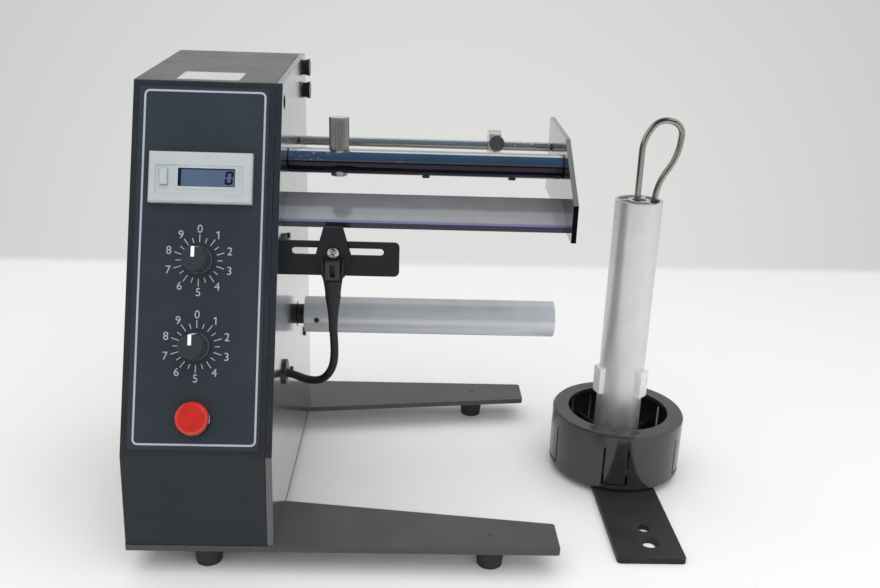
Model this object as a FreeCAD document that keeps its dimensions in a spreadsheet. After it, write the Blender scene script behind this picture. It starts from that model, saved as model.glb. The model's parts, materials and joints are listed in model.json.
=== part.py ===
import FreeCAD, Part
import math
import os
import re
import Sketcher

from FreeCAD import Placement, Rotation, Vector

# Driving sizes in millimetres and degrees.
# X runs along the bars from the outer face of the side plate, Y runs back from the front
# of the base, and heights named "...Height" are measured up from the top of the base plate.
SIZES = {
    "base": {
        "baseThickness": 3.0,
        "baseDepth": 192.0,
        "baseOverhang": 0.5,
        "legReach": 138.0,
        "legRootWidth": 41.0,
        "legTipWidth": 22.7,
        "legCorner": 1.5,
        "footLift": 12.5,
        "footTopRadius": 7.5,
        "footBottomRadius": 6.2,
        "footInset": 12.0,
        "footRightX": 105.0,
        "footLeftX": -33.5,
        "footScrewRadius": 1.5,
        "footRecessGap": 1.2,
        "baseScrewTail": 1.0,
    },
    "housing": {
        "housingWidth": 70.0,
        "housingDepth": 161.5,
        "sideThickness": 3.0,
        "sideFlange": 12.0,
        "sideFlangeInset": 12.0,
        "toeLean": 2.7,
        "toeHeight": 45.8,
        "panelTopY": 68.3,
        "panelTopHeight": 209.7,
        "backHeight": 216.9,
        "coverWall": 1.2,
        "coverBend": 1.0,
        "coverGap": 0.3,
        "coverFlange": 10.0,
        "ventPitch": 7.0,
        "ventLength": 26.0,
        "ventWidth": 2.4,
        "ventCount": 5,
        "ventBackMargin": 20.0,
        "ventLow": 30.0,
        "frontHoleY": 72.0,
        "frontHoleHeight": 200.5,
        "frontHoleRadius": 3.5,
    },
    "panel": {
        "overlayThickness": 0.4,
        "overlayMargin": 3.0,
        "lengthDialRise": 91.4,
        "speedDialRise": 51.2,
        "buttonRise": 17.4,
        "counterRise": 129.9,
        "counterWidth": 48.0,
        "counterHeightSize": 24.0,
        "counterProud": 4.0,
        "counterBodyWidth": 44.6,
        "counterBodyHeight": 22.0,
        "counterBodyDepth": 40.0,
        "counterRecess": 0.8,
        "counterBevel": 0.8,
        "fieldLeft": 3.3,
        "fieldRight": 4.2,
        "fieldTop": 6.5,
        "fieldBottom": 3.7,
        "fieldDepth": 0.3,
        "fieldCorner": 0.8,
        "displayWidth": 26.6,
        "displayHeight": 8.6,
        "displayShift": 3.0,
        "resetWidth": 3.4,
        "resetHeight": 7.6,
        "resetShift": -16.7,
        "resetProud": 1.2,
        "resetTravel": 0.8,
        "resetWellFloor": 0.5,
        "keyClearance": 0.2,
        "knobFlangeRadius": 6.7,
        "knobFlangeHeight": 2.4,
        "knobRootRadius": 5.9,
        "knobTopRadius": 4.9,
        "knobLength": 14.0,
        "knobWall": 0.9,
        "knobEdge": 0.5,
        "knobGripStart": 1.2,
        "knobFlutes": 18,
        "knobFluteDepth": 0.45,
        "knobFluteHalfWidth": 0.5,
        "potShaftRadius": 3.0,
        "potShaftProud": 11.0,
        "potShaftStep": 0.4,
        "potBushRadius": 3.5,
        "potBushProud": 4.0,
        "potBodyRadius": 8.0,
        "potBodyDepth": 9.0,
        "potFloor": 2.0,
        "potNutAcross": 8.2,
        "potNutThickness": 1.8,
        "panelClearance": 0.1,
        "runningClearance": 0.05,
        "buttonRadius": 7.0,
        "buttonProud": 6.4,
        "buttonTravel": 1.5,
        "buttonBezelRadius": 8.0,
        "buttonBezelHeight": 2.8,
        "buttonBezelEdge": 0.6,
        "buttonGap": 0.15,
        "buttonShoulder": 1.8,
        "buttonRimFall": 0.8,
        "buttonRimWidth": 0.7,
        "buttonDomeWidth": 2.6,
        "buttonDomeFall": 0.2,
        "buttonStem": 7.0,
        "switchBodyRadius": 7.2,
        "switchBodyDepth": 26.0,
        "switchThreadRadius": 6.2,
        "switchThreadLength": 8.0,
        "switchNutThickness": 3.0,
        "switchNutOver": 1.6,
        "switchBore": 4.8,
        "switchWell": 8.0,
    },
    "bars": {
        "barSpan": 138.7,
        "barChamfer": 0.6,
        "guideRadius": 2.5,
        "guideY": 126.6,
        "guideHeight": 173.3,
        "pressRadius": 6.35,
        "pressY": 84.1,
        "pressHeight": 170.5,
        "crossFirstX": 25.3,
        "crossPitch": 44.0,
        "crossHoleRadius": 2.0,
        "spotFaceDepth": 2.0,
        "peelBackY": 77.2,
        "peelBackHeight": 155.5,
        "peelCrestY": 61.5,
        "peelCrestHeight": 148.5,
        "peelNoseY": 56.6,
        "peelNoseDrop": 5.6,
        "peelThickness": 6.4,
        "peelNoseRound": 1.9,
        "endThickness": 2.5,
        "endBackY": 137.0,
        "endBackTop": 188.4,
        "endBackBottom": 148.2,
        "endShoulderY": 80.8,
        "endShoulderTop": 185.3,
        "endNoseY": 43.0,
        "endNoseTop": 159.7,
        "endNoseBottom": 141.5,
        "tapRadius": 1.5,
        "tapDepth": 8.0,
        "screwHeadRadius": 2.8,
        "screwHeadHeight": 1.8,
        "thumbHeadRadius": 5.0,
        "thumbHeadLength": 14.9,
        "thumbNeckRadius": 4.2,
        "thumbNeckLength": 2.8,
        "thumbFlutes": 30,
        "thumbEdge": 0.5,
        "knurlDepth": 0.4,
        "knurlHalfWidth": 0.3,
        "knurlLand": 0.6,
        "tipProud": 1.0,
        "collarX": 107.0,
        "collarWidth": 6.7,
        "collarRadius": 8.5,
        "collarTilt": 13.0,
        "collarScrewRadius": 1.5,
        "collarHeadRadius": 4.25,
        "collarHeadStart": 10.0,
        "collarHeadLength": 8.0,
        "collarNeckRadius": 2.4,
    },
    "sensor": {
        "sensorPlaneY": 46.0,
        "bracketThickness": 1.5,
        "bracketLength": 57.0,
        "bracketBottom": 121.8,
        "bracketTop": 138.7,
        "bracketCorner": 2.5,
        "bracketFlange": 12.0,
        "bracketScrewBack": 7.2,
        "bracketScrewInset": 4.0,
        "slotStartX": 5.5,
        "slotEndX": 49.5,
        "slotBottom": 132.0,
        "slotTop": 135.6,
        "carriageX": 25.4,
        "carriageThickness": 2.0,
        "carriageTop": 146.2,
        "carriageWaist": 132.5,
        "carriageBottom": 121.5,
        "carriageTopWidth": 9.2,
        "carriageWaistWidth": 17.0,
        "carriageBottomWidth": 10.8,
        "carriageScrewHeight": 133.8,
        "carriageHeadRadius": 3.1,
        "carriageHeadHeight": 2.2,
        "carriageScrewRadius": 1.5,
        "carriageGap": 0.1,
        "carriageNutHeight": 1.8,
        "carriageScrewTail": 3.0,
        "forkWidth": 7.0,
        "forkDepth": 5.0,
        "forkTop": 130.4,
        "forkGap": 2.4,
        "forkCheek": 1.3,
        "bootTopRadius": 4.6,
        "bootBottomRadius": 2.7,
        "bootLength": 27.0,
        "bootInset": 2.0,
        "bootClearance": 0.3,
        "cableRadius": 2.0,
        "cableStartInset": 2.0,
        "cableDropX": 21.2,
        "cableDropY": 46.2,
        "cableDropHeight": 73.0,
        "cableTurnX": 14.2,
        "cableTurnY": 48.2,
        "cableTurnHeight": 67.4,
        "cableRunX": 6.5,
        "cableEndX": -1.0,
        "cableHoleY": 49.7,
        "cableHoleHeight": 68.9,
        "grommetRadius": 6.5,
        "grommetHole": 2.3,
        "grommetGroove": 1.6,
        "grommetProud": 1.5,
        "grommetInside": 1.5,
    },
    "drive": {
        "takeupBack": 55.9,
        "takeupHeight": 79.8,
        "takeupStartX": 4.5,
        "takeupLength": 138.7,
        "takeupRadius": 10.0,
        "takeupWall": 1.5,
        "takeupHubWall": 1.8,
        "spindleRadius": 4.0,
        "spindleReach": 34.0,
        "spindleTail": 3.5,
        "spindleShoulder": 1.5,
        "wheelBoreGap": 0.02,
        "endPlay": 0.3,
        "bushRadius": 7.0,
        "bushFlangeRadius": 9.5,
        "bushFlange": 2.0,
        "motorPlateX": -20.0,
        "motorPlateThickness": 2.5,
        "motorPlateMargin": 8.0,
        "gearFace": 8.0,
        "gearModule": 1.5,
        "gearTeeth": 30,
        "pinionTeeth": 10,
        "gearHubWall": 4.0,
        "gearDedendum": 1.2,
        "gearAddendum": 0.85,
        "gearRootShare": 0.34,
        "gearTipShare": 0.11,
        "pinionRootShare": 0.26,
        "pinionTipShare": 0.09,
        "meshGap": 0.35,
        "motorShaftRadius": 3.0,
        "motorShaftInset": 4.5,
        "motorShaftFree": 2.0,
        "gearboxRadius": 18.5,
        "gearboxLength": 20.0,
        "motorCanRadius": 16.0,
        "motorCanLength": 23.0,
        "standoffRadius": 4.0,
        "standoffScrewReach": 6.0,
        "standoffSpanY": 30.0,
        "standoffLow": 22.0,
        "standoffHigh": 52.0,
        "clipThickness": 0.8,
        "clipRadius": 6.5,
        "clipGap": 0.2,
        "tubeScrewX": 11.5,
        "tubeScrewRadius": 1.5,
    },
    "electrics": {
        "boardBack": 13.5,
        "boardClearance": 14.2,
        "boardWidth": 50.0,
        "boardTall": 56.0,
        "boardThickness": 1.6,
        "boardStandoff": 8.0,
        "boardPostAcross": 5.5,
        "boardHoleInset": 4.0,
        "boardPartHeight": 4.0,
        "boardRelayHeight": 10.0,
        "boardCanRadius": 4.0,
        "boardCanHeight": 12.0,
        "coreX": -57.6,
        "coreY": 62.0,
        "coreWidth": 41.6,
        "coreDepth": 16.0,
        "coreTall": 36.0,
        "coreLimb": 7.0,
        "coilOver": 9.0,
        "coilClearance": 0.2,
        "coreFoot": 7.0,
        "coreFootThickness": 2.0,
        "inletHeight": 26.0,
        "inletX": -36.0,
        "inletWidth": 27.0,
        "inletTall": 20.0,
        "inletDepth": 22.0,
        "inletFlange": 10.0,
        "inletFlangeThickness": 2.0,
        "inletWall": 2.0,
        "inletFloor": 5.0,
        "pinLength": 14.0,
        "pinWidth": 2.0,
        "pinTall": 4.0,
        "pinPitch": 7.0,
        "pinOffset": 2.0,
        "fuseHeight": 58.0,
        "fuseCapRadius": 7.0,
        "fuseCapHeight": 4.0,
        "fuseSlotWidth": 1.2,
        "fuseSlotDepth": 1.0,
        "fuseBodyRadius": 5.5,
        "fuseDepth": 24.0,
    },
    "holder": {
        "armThickness": 3.0,
        "armWidth": 35.0,
        "armX": 187.0,
        "armFrontY": 11.5,
        "armTail": 17.5,
        "armCorner": 2.0,
        "armHoleSpacing": 12.5,
        "armHoleFromEnd": 14.8,
        "armHoleRadius": 3.3,
        "armSinkRadius": 5.2,
        "holderScrewBack": 6.0,
        "holderScrewHeight": 197.2,
        "holderScrewRadius": 3.0,
        "holderHeadRadius": 4.8,
        "holderHeadLength": 3.2,
        "holderHeadTaper": 0.8,
        "holderNutThickness": 3.0,
        "reelY": 111.7,
        "axleRadius": 4.0,
        "axleHeadRadius": 7.0,
        "axleHeadHeight": 1.2,
        "axleStep": 1.0,
        "axleLength": 56.0,
        "armHoleX": 2.0,
        "armSinkShare": 0.6,
        "drumRadius": 38.0,
        "drumWall": 2.4,
        "drumHeight": 34.0,
        "drumLift": 1.0,
        "drumMouthRadius": 28.9,
        "drumLipThickness": 2.6,
        "drumFloor": 2.5,
        "drumHubRadius": 17.6,
        "drumHubHeight": 17.0,
        "drumChamfer": 1.0,
        "tongueCount": 5,
        "tongueWidth": 12.0,
        "tongueSlit": 1.2,
        "tongueBottom": 3.0,
        "tongueRelief": 1.5,
        "drumWebLift": 4.0,
        "tongueTop": 8.0,
        "tongueTurn": -11.0,
        "ribCount": 10,
        "ribThickness": 1.6,
        "ribHeight": 5.0,
        "notchWidth": 3.0,
        "notchDepth": 3.0,
        "holderTubeRadius": 12.9,
        "holderTubeTop": 163.8,
        "holderTubeWall": 1.6,
        "holderHubWall": 2.0,
        "spokeThickness": 1.6,
        "spokeBite": 0.3,
        "holderSpokeTurn": 60.0,
        "tubeClipStart": 50.0,
        "tubeClipLength": 15.5,
        "tubeClipWidth": 7.6,
        "tubeClipProud": 2.6,
        "tubeClipTurn": 15.0,
        "wireRadius": 1.7,
        "wireRearDepth": 42.0,
        "wireRearX": -1.0,
        "wireNeckX": -1.2,
        "wireNeckRise": 32.7,
        "wirePeakX": 6.5,
        "wirePeakRise": 44.5,
        "wireBendX": 19.8,
        "wireBendRise": 41.5,
        "wireFallX": 18.6,
        "wireFallRise": 24.5,
        "wireFrontX": 8.4,
        "wireFrontRise": 8.0,
        "wireFrontDepth": 14.0,
    },
}

document = FreeCAD.newDocument("LabelDispenser")
sheet = document.addObject("Spreadsheet::Sheet", "Sizes")
row = 0
for heading, values in SIZES.items():
    row += 1
    sheet.set("A%d" % row, "'" + heading)
    for alias, number in values.items():
        row += 1
        sheet.set("A%d" % row, "'" + alias)
        sheet.set("B%d" % row, str(number))
        sheet.setAlias("B%d" % row, alias)
document.recompute()
size = {alias: float(sheet.get(alias)) for values in SIZES.values() for alias in values}

baseTop = size["footLift"] + size["baseThickness"]

# Places that follow from other sizes, each as a formula.
takeupY = "(housingDepth - takeupBack)"
boardY = "(housingDepth - boardBack - boardWidth)"
boardHeight = "(takeupHeight + standoffHigh + standoffRadius + boardClearance)"
pinionHeight = "(takeupHeight + gearModule * (gearTeeth + pinionTeeth) / 2 + meshGap)"
takeupAxisY = size["housingDepth"] - size["takeupBack"]
pinionAxisHeight = (size["takeupHeight"] + size["meshGap"]
                    + size["gearModule"] * (size["gearTeeth"] + size["pinionTeeth"]) / 2)

reelX = size["armX"]

# The part's origin lies on the floor, under the middle of the outline seen from above.
outlineLeft = -size["housingWidth"] - size["baseOverhang"]
outlineRight = reelX + size["drumRadius"]
origin = Vector((outlineLeft + outlineRight) / 2, size["baseDepth"] / 2 - size["baseOverhang"], 0)

# The sloping control panel: its lean from the vertical and its length up the slope.
panelRun = size["panelTopY"] - size["toeLean"]
panelRise = size["panelTopHeight"] - size["toeHeight"]
panelLean = math.degrees(math.atan2(panelRun, panelRise))
panelMiddleX = -(size["housingWidth"] + size["sideThickness"]) / 2

alongX = Rotation(Vector(0, 1, 0), 90)
alongMinusY = Rotation(Vector(1, 0, 0), 90)
onPanel = Rotation(Vector(1, 0, 0), 90 - panelLean)
upright = Rotation()

nodes = []


def named(thing, label, place=Vector(0, 0, 0), turn=upright):
    """Makes an object a sub-part: its name, and its place in the machine's frame."""
    thing.Label = label
    thing.Placement = Placement(place - origin, turn)
    nodes.append(thing)
    return thing


def aboveBase(x, y, height):
    return Vector(x, y, baseTop + height)


def onPanelAt(rise, x=panelMiddleX, proud=0.0):
    """A point of the control panel, by its rise up the slope and its height off the face."""
    lean = math.radians(panelLean)
    y = size["toeLean"] + rise * math.sin(lean) - proud * math.cos(lean)
    return aboveBase(x, y, size["toeHeight"] + rise * math.cos(lean) + proud * math.sin(lean))


def bind(thing, target, formula):
    thing.setExpression(target, re.sub(r"\b([a-z]\w*)", r"Sizes.\1", str(formula)))


def put(thing, x=0, y=0, z=0, turn=None):
    if turn is not None:
        thing.Placement = Placement(Vector(0, 0, 0), turn)
    for axis, formula in zip("xyz", (x, y, z)):
        bind(thing, "Placement.Base." + axis, formula)
    return thing


def box(length, width, height, x=0, y=0, z=0):
    thing = document.addObject("Part::Box", "Block")
    for target, formula in (("Length", length), ("Width", width), ("Height", height)):
        bind(thing, target, formula)
    return put(thing, x, y, z)


def rod(radius, height, x=0, y=0, z=0, turn=None):
    thing = document.addObject("Part::Cylinder", "Rod")
    bind(thing, "Radius", radius)
    bind(thing, "Height", height)
    return put(thing, x, y, z, turn)


def rodX(radius, length, x=0, y=0, z=0):
    """A rod that lies along X."""
    return rod(radius, length, x, y, z, alongX)


def cone(lower, upper, height, x=0, y=0, z=0, turn=None):
    thing = document.addObject("Part::Cone", "Taper")
    bind(thing, "Radius1", lower)
    bind(thing, "Radius2", upper)
    bind(thing, "Height", height)
    return put(thing, x, y, z, turn)


def group(*pieces):
    thing = document.addObject("Part::Compound", "Set")
    thing.Links = list(pieces)
    return thing


def cut(base, *tools):
    thing = document.addObject("Part::Cut", "Drilled")
    thing.Base = base
    thing.Tool = tools[0] if len(tools) == 1 else group(*tools)
    return thing


def fuse(*pieces):
    thing = document.addObject("Part::MultiFuse", "Joined")
    thing.Shapes = list(pieces)
    thing.Refine = True
    return thing


def newBody():
    return document.addObject("PartDesign::Body", "Body")


def sketchOn(body, role, offset=None):
    sketch = body.newObject("Sketcher::SketchObject", "Sketch")
    plane = [item for item in body.Origin.OriginFeatures if item.Role == role][0]
    sketch.AttachmentSupport = [(plane, "")]
    sketch.MapMode = "FlatFace"
    if offset is not None:
        bind(sketch, "AttachmentOffset.Base.z", offset)
    return sketch


def fix(sketch, kind, number, *places):
    index = sketch.addConstraint(Sketcher.Constraint(kind, *places[:-1], places[-1]))
    bind(sketch, "Constraints[%d]" % index, number)


def outline(sketch, corners):
    """Adds a closed polygon whose corners are pairs of formulas."""
    start = sketch.GeometryCount
    count = len(corners)
    turn = 2 * math.pi / count
    ring = [Vector(10 * math.cos(turn * i), 10 * math.sin(turn * i), 0) for i in range(count)]
    for i in range(count):
        sketch.addGeometry(Part.LineSegment(ring[i], ring[(i + 1) % count]))
    for i in range(count):
        ahead = start + (i + 1) % count
        sketch.addConstraint(Sketcher.Constraint("Coincident", start + i, 2, ahead, 1))
    for i, (across, up) in enumerate(corners):
        fix(sketch, "DistanceX", across, -1, 1, start + i, 1, ring[i].x)
        fix(sketch, "DistanceY", up, -1, 1, start + i, 1, ring[i].y)


def rectangle(sketch, left, bottom, width, height):
    right = "%s + %s" % (left, width)
    top = "%s + %s" % (bottom, height)
    outline(sketch, [(left, bottom), (right, bottom), (right, top), (left, top)])


def ring(sketch, x, y, radius):
    index = sketch.addGeometry(Part.Circle(Vector(5, 5, 0), Vector(0, 0, 1), 3))
    fix(sketch, "DistanceX", x, -1, 1, index, 3, 5.0)
    fix(sketch, "DistanceY", y, -1, 1, index, 3, 5.0)
    fix(sketch, "Radius", radius, index, 3.0)


def pad(body, sketch, length, back=False):
    feature = body.newObject("PartDesign::Pad", "Pad")
    feature.Profile = sketch
    bind(feature, "Length", length)
    feature.Reversed = back
    document.recompute()
    return feature


def pocket(body, sketch, length=None, back=False):
    feature = body.newObject("PartDesign::Pocket", "Pocket")
    feature.Profile = sketch
    before = body.Shape.Volume
    if length is None:
        feature.Type = "ThroughAll"
        feature.Midplane = True
    else:
        bind(feature, "Length", length)
        feature.Reversed = back
    document.recompute()
    if body.Shape.Volume >= before:
        raise RuntimeError("a pocket cut nothing in " + body.Label)
    return feature


def revolve(body, sketch):
    feature = body.newObject("PartDesign::Revolution", "Revolution")
    feature.Profile = sketch
    feature.ReferenceAxis = (sketch, ["V_Axis"])
    feature.Angle = 360
    document.recompute()
    return feature


def polar(body, original, count):
    axis = [item for item in body.Origin.OriginFeatures if item.Role == "Z_Axis"][0]
    feature = body.newObject("PartDesign::PolarPattern", "Pattern")
    feature.Originals = [original]
    feature.Axis = (axis, [""])
    feature.Angle = 360
    bind(feature, "Occurrences", count)
    body.Tip = feature
    document.recompute()
    return feature


def edgesAlong(shape, direction, test):
    """The names of the straight edges that run along a direction and pass a test."""
    found = []
    for number, edge in enumerate(shape.Edges, 1):
        ends = [vertex.Point for vertex in edge.Vertexes]
        if len(ends) == 2 and abs((ends[1] - ends[0]).normalize().dot(direction)) > 0.999 and test(ends[0]):
            found.append("Edge%d" % number)
    return found


def fillet(body, feature, edges, radius):
    rounded = body.newObject("PartDesign::Fillet", "Fillet")
    rounded.Base = (feature, edges)
    bind(rounded, "Radius", radius)
    document.recompute()
    return rounded


def turned(profile):
    """A body turned about its own Z axis from a profile of radius and height pairs."""
    body = newBody()
    sketch = sketchOn(body, "XZ_Plane")
    outline(sketch, profile)
    revolve(body, sketch)
    return body


def basePlate():
    body = newBody()
    sketch = sketchOn(body, "XY_Plane")
    left, front = "-housingWidth - baseOverhang", "-baseOverhang"
    back = "baseDepth - baseOverhang"
    outline(sketch, [
        (left, front), ("legReach", front), ("legReach", front + " + legTipWidth"),
        ("0", front + " + legRootWidth"), ("0", back + " - legRootWidth"),
        ("legReach", back + " - legTipWidth"), ("legReach", back), (left, back)])
    plate = pad(body, sketch, "baseThickness")
    corners = edgesAlong(plate.Shape, Vector(0, 0, 1), lambda point: abs(point.x) > 1)
    fillet(body, plate, corners, "legCorner")
    holes = sketchOn(body, "XY_Plane")
    for x, y in footPlaces():
        ring(holes, x, y, "footScrewRadius + runningClearance")
    for x, y in baseScrewPlaces():
        ring(holes, x, y, "tapRadius + runningClearance")
    pocket(body, holes)
    named(body, "base_plate", Vector(0, 0, size["footLift"]))


def footPlaces():
    back = "baseDepth - baseOverhang - footInset"
    return [(x, y) for x in ("footLeftX", "footRightX") for y in ("footInset - baseOverhang", back)]


def baseScrewPlaces():
    rows = ("housingDepth * 0.15", "housingDepth * 0.5", "housingDepth * 0.85")
    right = "-sideThickness - sideFlange / 2"
    left = "-housingWidth + coverWall + coverFlange / 2"
    return [(x, y) for x in (right, left) for y in rows]


def rubberFeet():
    feet = []
    for x, y in footPlaces():
        solid = cone("footBottomRadius", "footTopRadius", "footLift", x, y)
        recess = rod("screwHeadRadius + footRecessGap", "footLift / 2", x, y)
        stud = rod("footScrewRadius", "footLift / 2 + baseThickness", x, y, "footLift / 2")
        feet.append(fuse(cut(solid, recess), stud))
    named(group(*feet), "rubber_feet")


def baseScrews():
    screws = []
    for x, y in baseScrewPlaces():
        screws.append(fuse(rod("screwHeadRadius", "screwHeadHeight", x, y, "-screwHeadHeight"),
                           rod("tapRadius", "baseThickness + coverWall + baseScrewTail", x, y)))
    named(group(*screws), "base_screws", Vector(0, 0, size["footLift"]))


def sideOutline():
    return [("0", "0"), ("toeLean", "toeHeight"), ("panelTopY", "panelTopHeight"),
            ("housingDepth", "backHeight"), ("housingDepth", "0")]


def sidePlate():
    body = newBody()
    face = sketchOn(body, "YZ_Plane")
    outline(face, sideOutline())
    pad(body, face, "sideThickness", back=True)
    flange = sketchOn(body, "XY_Plane")
    rectangle(flange, "-sideThickness - sideFlange", "sideFlangeInset", "sideThickness + sideFlange",
              "housingDepth - sideFlangeInset * 2")
    pad(body, flange, "sideThickness")
    holes = sketchOn(body, "YZ_Plane")
    ring(holes, "frontHoleY", "frontHoleHeight", "frontHoleRadius")
    ring(holes, takeupY, "takeupHeight", "bushRadius + runningClearance")
    ring(holes, "cableHoleY", "cableHoleHeight", "grommetRadius - grommetGroove + panelClearance")
    for y, height in barEnds() + bracketScrewPlaces() + standoffPlaces():
        ring(holes, y, height, "tapRadius + runningClearance")
    for y, height in boardPosts():
        ring(holes, y, height, "tapRadius + runningClearance")
    for y, height in holderScrewPlaces():
        ring(holes, y, height, "holderScrewRadius + runningClearance")
    pocket(body, holes)
    taps = sketchOn(body, "XY_Plane")
    for x, y in baseScrewPlaces()[:3]:
        ring(taps, x, y, "tapRadius + runningClearance")
    pocket(body, taps, "sideThickness", back=True)
    named(body, "side_plate", aboveBase(0, 0, 0))


def barEnds():
    return [("guideY", "guideHeight"), ("pressY", "pressHeight"),
            ("(peelBackY + peelCrestY) / 2", "(peelBackHeight + peelCrestHeight) / 2 - peelThickness / 2")]


def bracketScrewPlaces():
    y = "sensorPlaneY + bracketThickness + bracketScrewBack"
    return [(y, "bracketBottom + bracketScrewInset"), (y, "bracketTop - bracketScrewInset")]


def standoffPlaces():
    return [(takeupY + side, "takeupHeight" + level) for level in (" - standoffLow", " + standoffHigh")
            for side in (" - standoffSpanY", " + standoffSpanY")]


def holderScrewPlaces():
    y = "housingDepth - holderScrewBack"
    return [(y, "holderScrewHeight"), (y, "holderScrewHeight + armHoleSpacing")]


def boardPosts():
    return [(boardY + side, boardHeight + level)
            for level in (" + boardHoleInset", " + boardTall - boardHoleInset")
            for side in (" + boardHoleInset", " + boardWidth - boardHoleInset")]


def cover():
    """The bent sheet cover: a shell that is open towards the side plate and the base."""
    body = newBody()
    face = sketchOn(body, "YZ_Plane")
    outline(face, sideOutline())
    solid = pad(body, face, "housingWidth - sideThickness - coverGap", back=True)
    bends = edgesAlong(solid.Shape, Vector(1, 0, 0), lambda point: point.z > 1)
    fillet(body, solid, bends, "coverBend")
    inside = sketchOn(body, "YZ_Plane")
    outline(inside, [
        ("coverWall", "0"), ("toeLean + coverWall", "toeHeight"),
        ("panelTopY + coverWall * 0.75", "panelTopHeight - coverWall"),
        ("housingDepth - coverWall", "backHeight - coverWall"), ("housingDepth - coverWall", "0")])
    pocket(body, inside, "housingWidth - sideThickness - coverGap - coverWall")
    flange = sketchOn(body, "XY_Plane")
    left = "-housingWidth + sideThickness + coverGap"
    rectangle(flange, left, "coverWall / 2", "coverWall + coverFlange", "housingDepth - coverWall")
    pad(body, flange, "coverWall")
    screws = sketchOn(body, "XY_Plane")
    for x, y in baseScrewPlaces()[3:]:
        ring(screws, x + " + sideThickness + coverGap", y, "tapRadius + runningClearance")
    pocket(body, screws, "coverWall", back=True)
    vents = sketchOn(body, "YZ_Plane", "-housingWidth / 2")
    slots = int(size["ventCount"])
    for number in range(slots):
        rectangle(vents, "housingDepth - ventBackMargin - ventLength", "ventLow + %d * ventPitch" % number,
                  "ventLength", "ventWidth")
    pocket(body, vents, "housingWidth")
    inlet = sketchOn(body, "XZ_Plane", "-housingDepth + coverWall * 2")
    rectangle(inlet, "inletX - inletWidth / 2 + sideThickness + coverGap", "inletHeight - inletTall / 2",
              "inletWidth + runningClearance", "inletTall + runningClearance")
    ring(inlet, "inletX + sideThickness + coverGap", "fuseHeight", "fuseBodyRadius + runningClearance")
    pocket(body, inlet, "coverWall * 4")
    window = sketchOn(body, "XY_Plane")
    corner = aboveBase(-size["sideThickness"] - size["coverGap"], 0, 0)
    window.AttachmentOffset = Placement(onPanelAt(0) - corner, onPanel)
    for rise in ("lengthDialRise", "speedDialRise"):
        ring(window, "0", rise, "potBushRadius + runningClearance")
    ring(window, "0", "buttonRise", "switchThreadRadius + runningClearance")
    width = "counterBodyWidth + panelClearance * 2"
    height = "counterBodyHeight + panelClearance * 2"
    rectangle(window, "-(%s) / 2" % width, "counterRise - (%s) / 2" % height, width, height)
    pocket(body, window, "coverWall * 3")
    named(body, "cover", corner)


def panelTools():
    """What passes through the control panel, in the frame of the panel's foot."""
    depth = "coverWall * 8"
    low = "-coverWall * 4"
    tools = [rod("potBushRadius + runningClearance", depth, 0, rise, low)
             for rise in ("lengthDialRise", "speedDialRise")]
    tools.append(rod("switchThreadRadius + runningClearance", depth, 0, "buttonRise", low))
    width = "counterBodyWidth + panelClearance * 2"
    height = "counterBodyHeight + panelClearance * 2"
    tools.append(box(width, height, depth, "-(%s) / 2" % width,
                     "counterRise - (%s) / 2" % height, low))
    return tools


def frontOverlay():
    width = "housingWidth - sideThickness - overlayMargin * 2"
    length = "((panelTopY - toeLean) ^ 2 + (panelTopHeight - toeHeight) ^ 2) ^ 0.5"
    film = box(width, length + " - overlayMargin * 2", "overlayThickness", "-(%s) / 2" % width,
               "overlayMargin", 0)
    named(cut(film, *panelTools()), "front_overlay", onPanelAt(0), onPanel)


def roundedBox(corner, *sizes):
    """A block whose upright edges are rounded."""
    block = box(*sizes)
    document.recompute()
    rounded = document.addObject("Part::Fillet", "Rounded")
    rounded.Base = block
    names = edgesAlong(block.Shape, Vector(0, 0, 1), lambda point: True)
    rounded.Edges = [(int(name[4:]), corner, corner) for name in names]
    return rounded


def counter():
    """The counter: a bevelled bezel with a sunken field, the window and the well of the key."""
    case = box("counterWidth", "counterHeightSize", "counterProud", "-counterWidth / 2",
               "-counterHeightSize / 2", "overlayThickness")
    body = box("counterBodyWidth", "counterBodyHeight", "counterBodyDepth + overlayThickness",
               "-counterBodyWidth / 2", "-counterBodyHeight / 2", "-counterBodyDepth")
    face = "overlayThickness + counterProud"
    field = roundedBox(size["fieldCorner"], "counterWidth - fieldLeft - fieldRight",
                       "counterHeightSize - fieldTop - fieldBottom", "fieldDepth * 2",
                       "-counterWidth / 2 + fieldLeft", "-counterHeightSize / 2 + fieldBottom",
                       face + " - fieldDepth")
    window = box("displayWidth", "displayHeight", "counterRecess * 2", "displayShift - displayWidth / 2",
                 "-displayHeight / 2", face + " - counterRecess")
    well = box("resetWidth + panelClearance * 2", "resetHeight + panelClearance * 2", "counterProud",
               "resetShift - resetWidth / 2 - panelClearance", "-resetHeight / 2 - panelClearance",
               "overlayThickness + resetWellFloor")
    document.recompute()
    rim = document.addObject("Part::Chamfer", "Rim")
    rim.Base = case
    top = case.Shape.BoundBox.ZMax
    rim.Edges = [(number, size["counterBevel"], size["counterBevel"])
                 for number, edge in enumerate(case.Shape.Edges, 1) if edge.BoundBox.ZMin > top - 0.01]
    place = onPanelAt(size["counterRise"])
    named(cut(fuse(rim, body), field, window, well), "counter_case", place, onPanel)
    glass = box("displayWidth", "displayHeight", "counterRecess / 2", "displayShift - displayWidth / 2",
                "-displayHeight / 2", face + " - counterRecess")
    named(group(glass), "counter_display", place, onPanel)
    low = "overlayThickness + resetWellFloor + resetTravel + keyClearance"
    key = box("resetWidth", "resetHeight", face + " + resetProud - (%s)" % low,
              "resetShift - resetWidth / 2", "-resetHeight / 2", low)
    named(group(key), "counter_button", place, onPanel)


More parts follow.
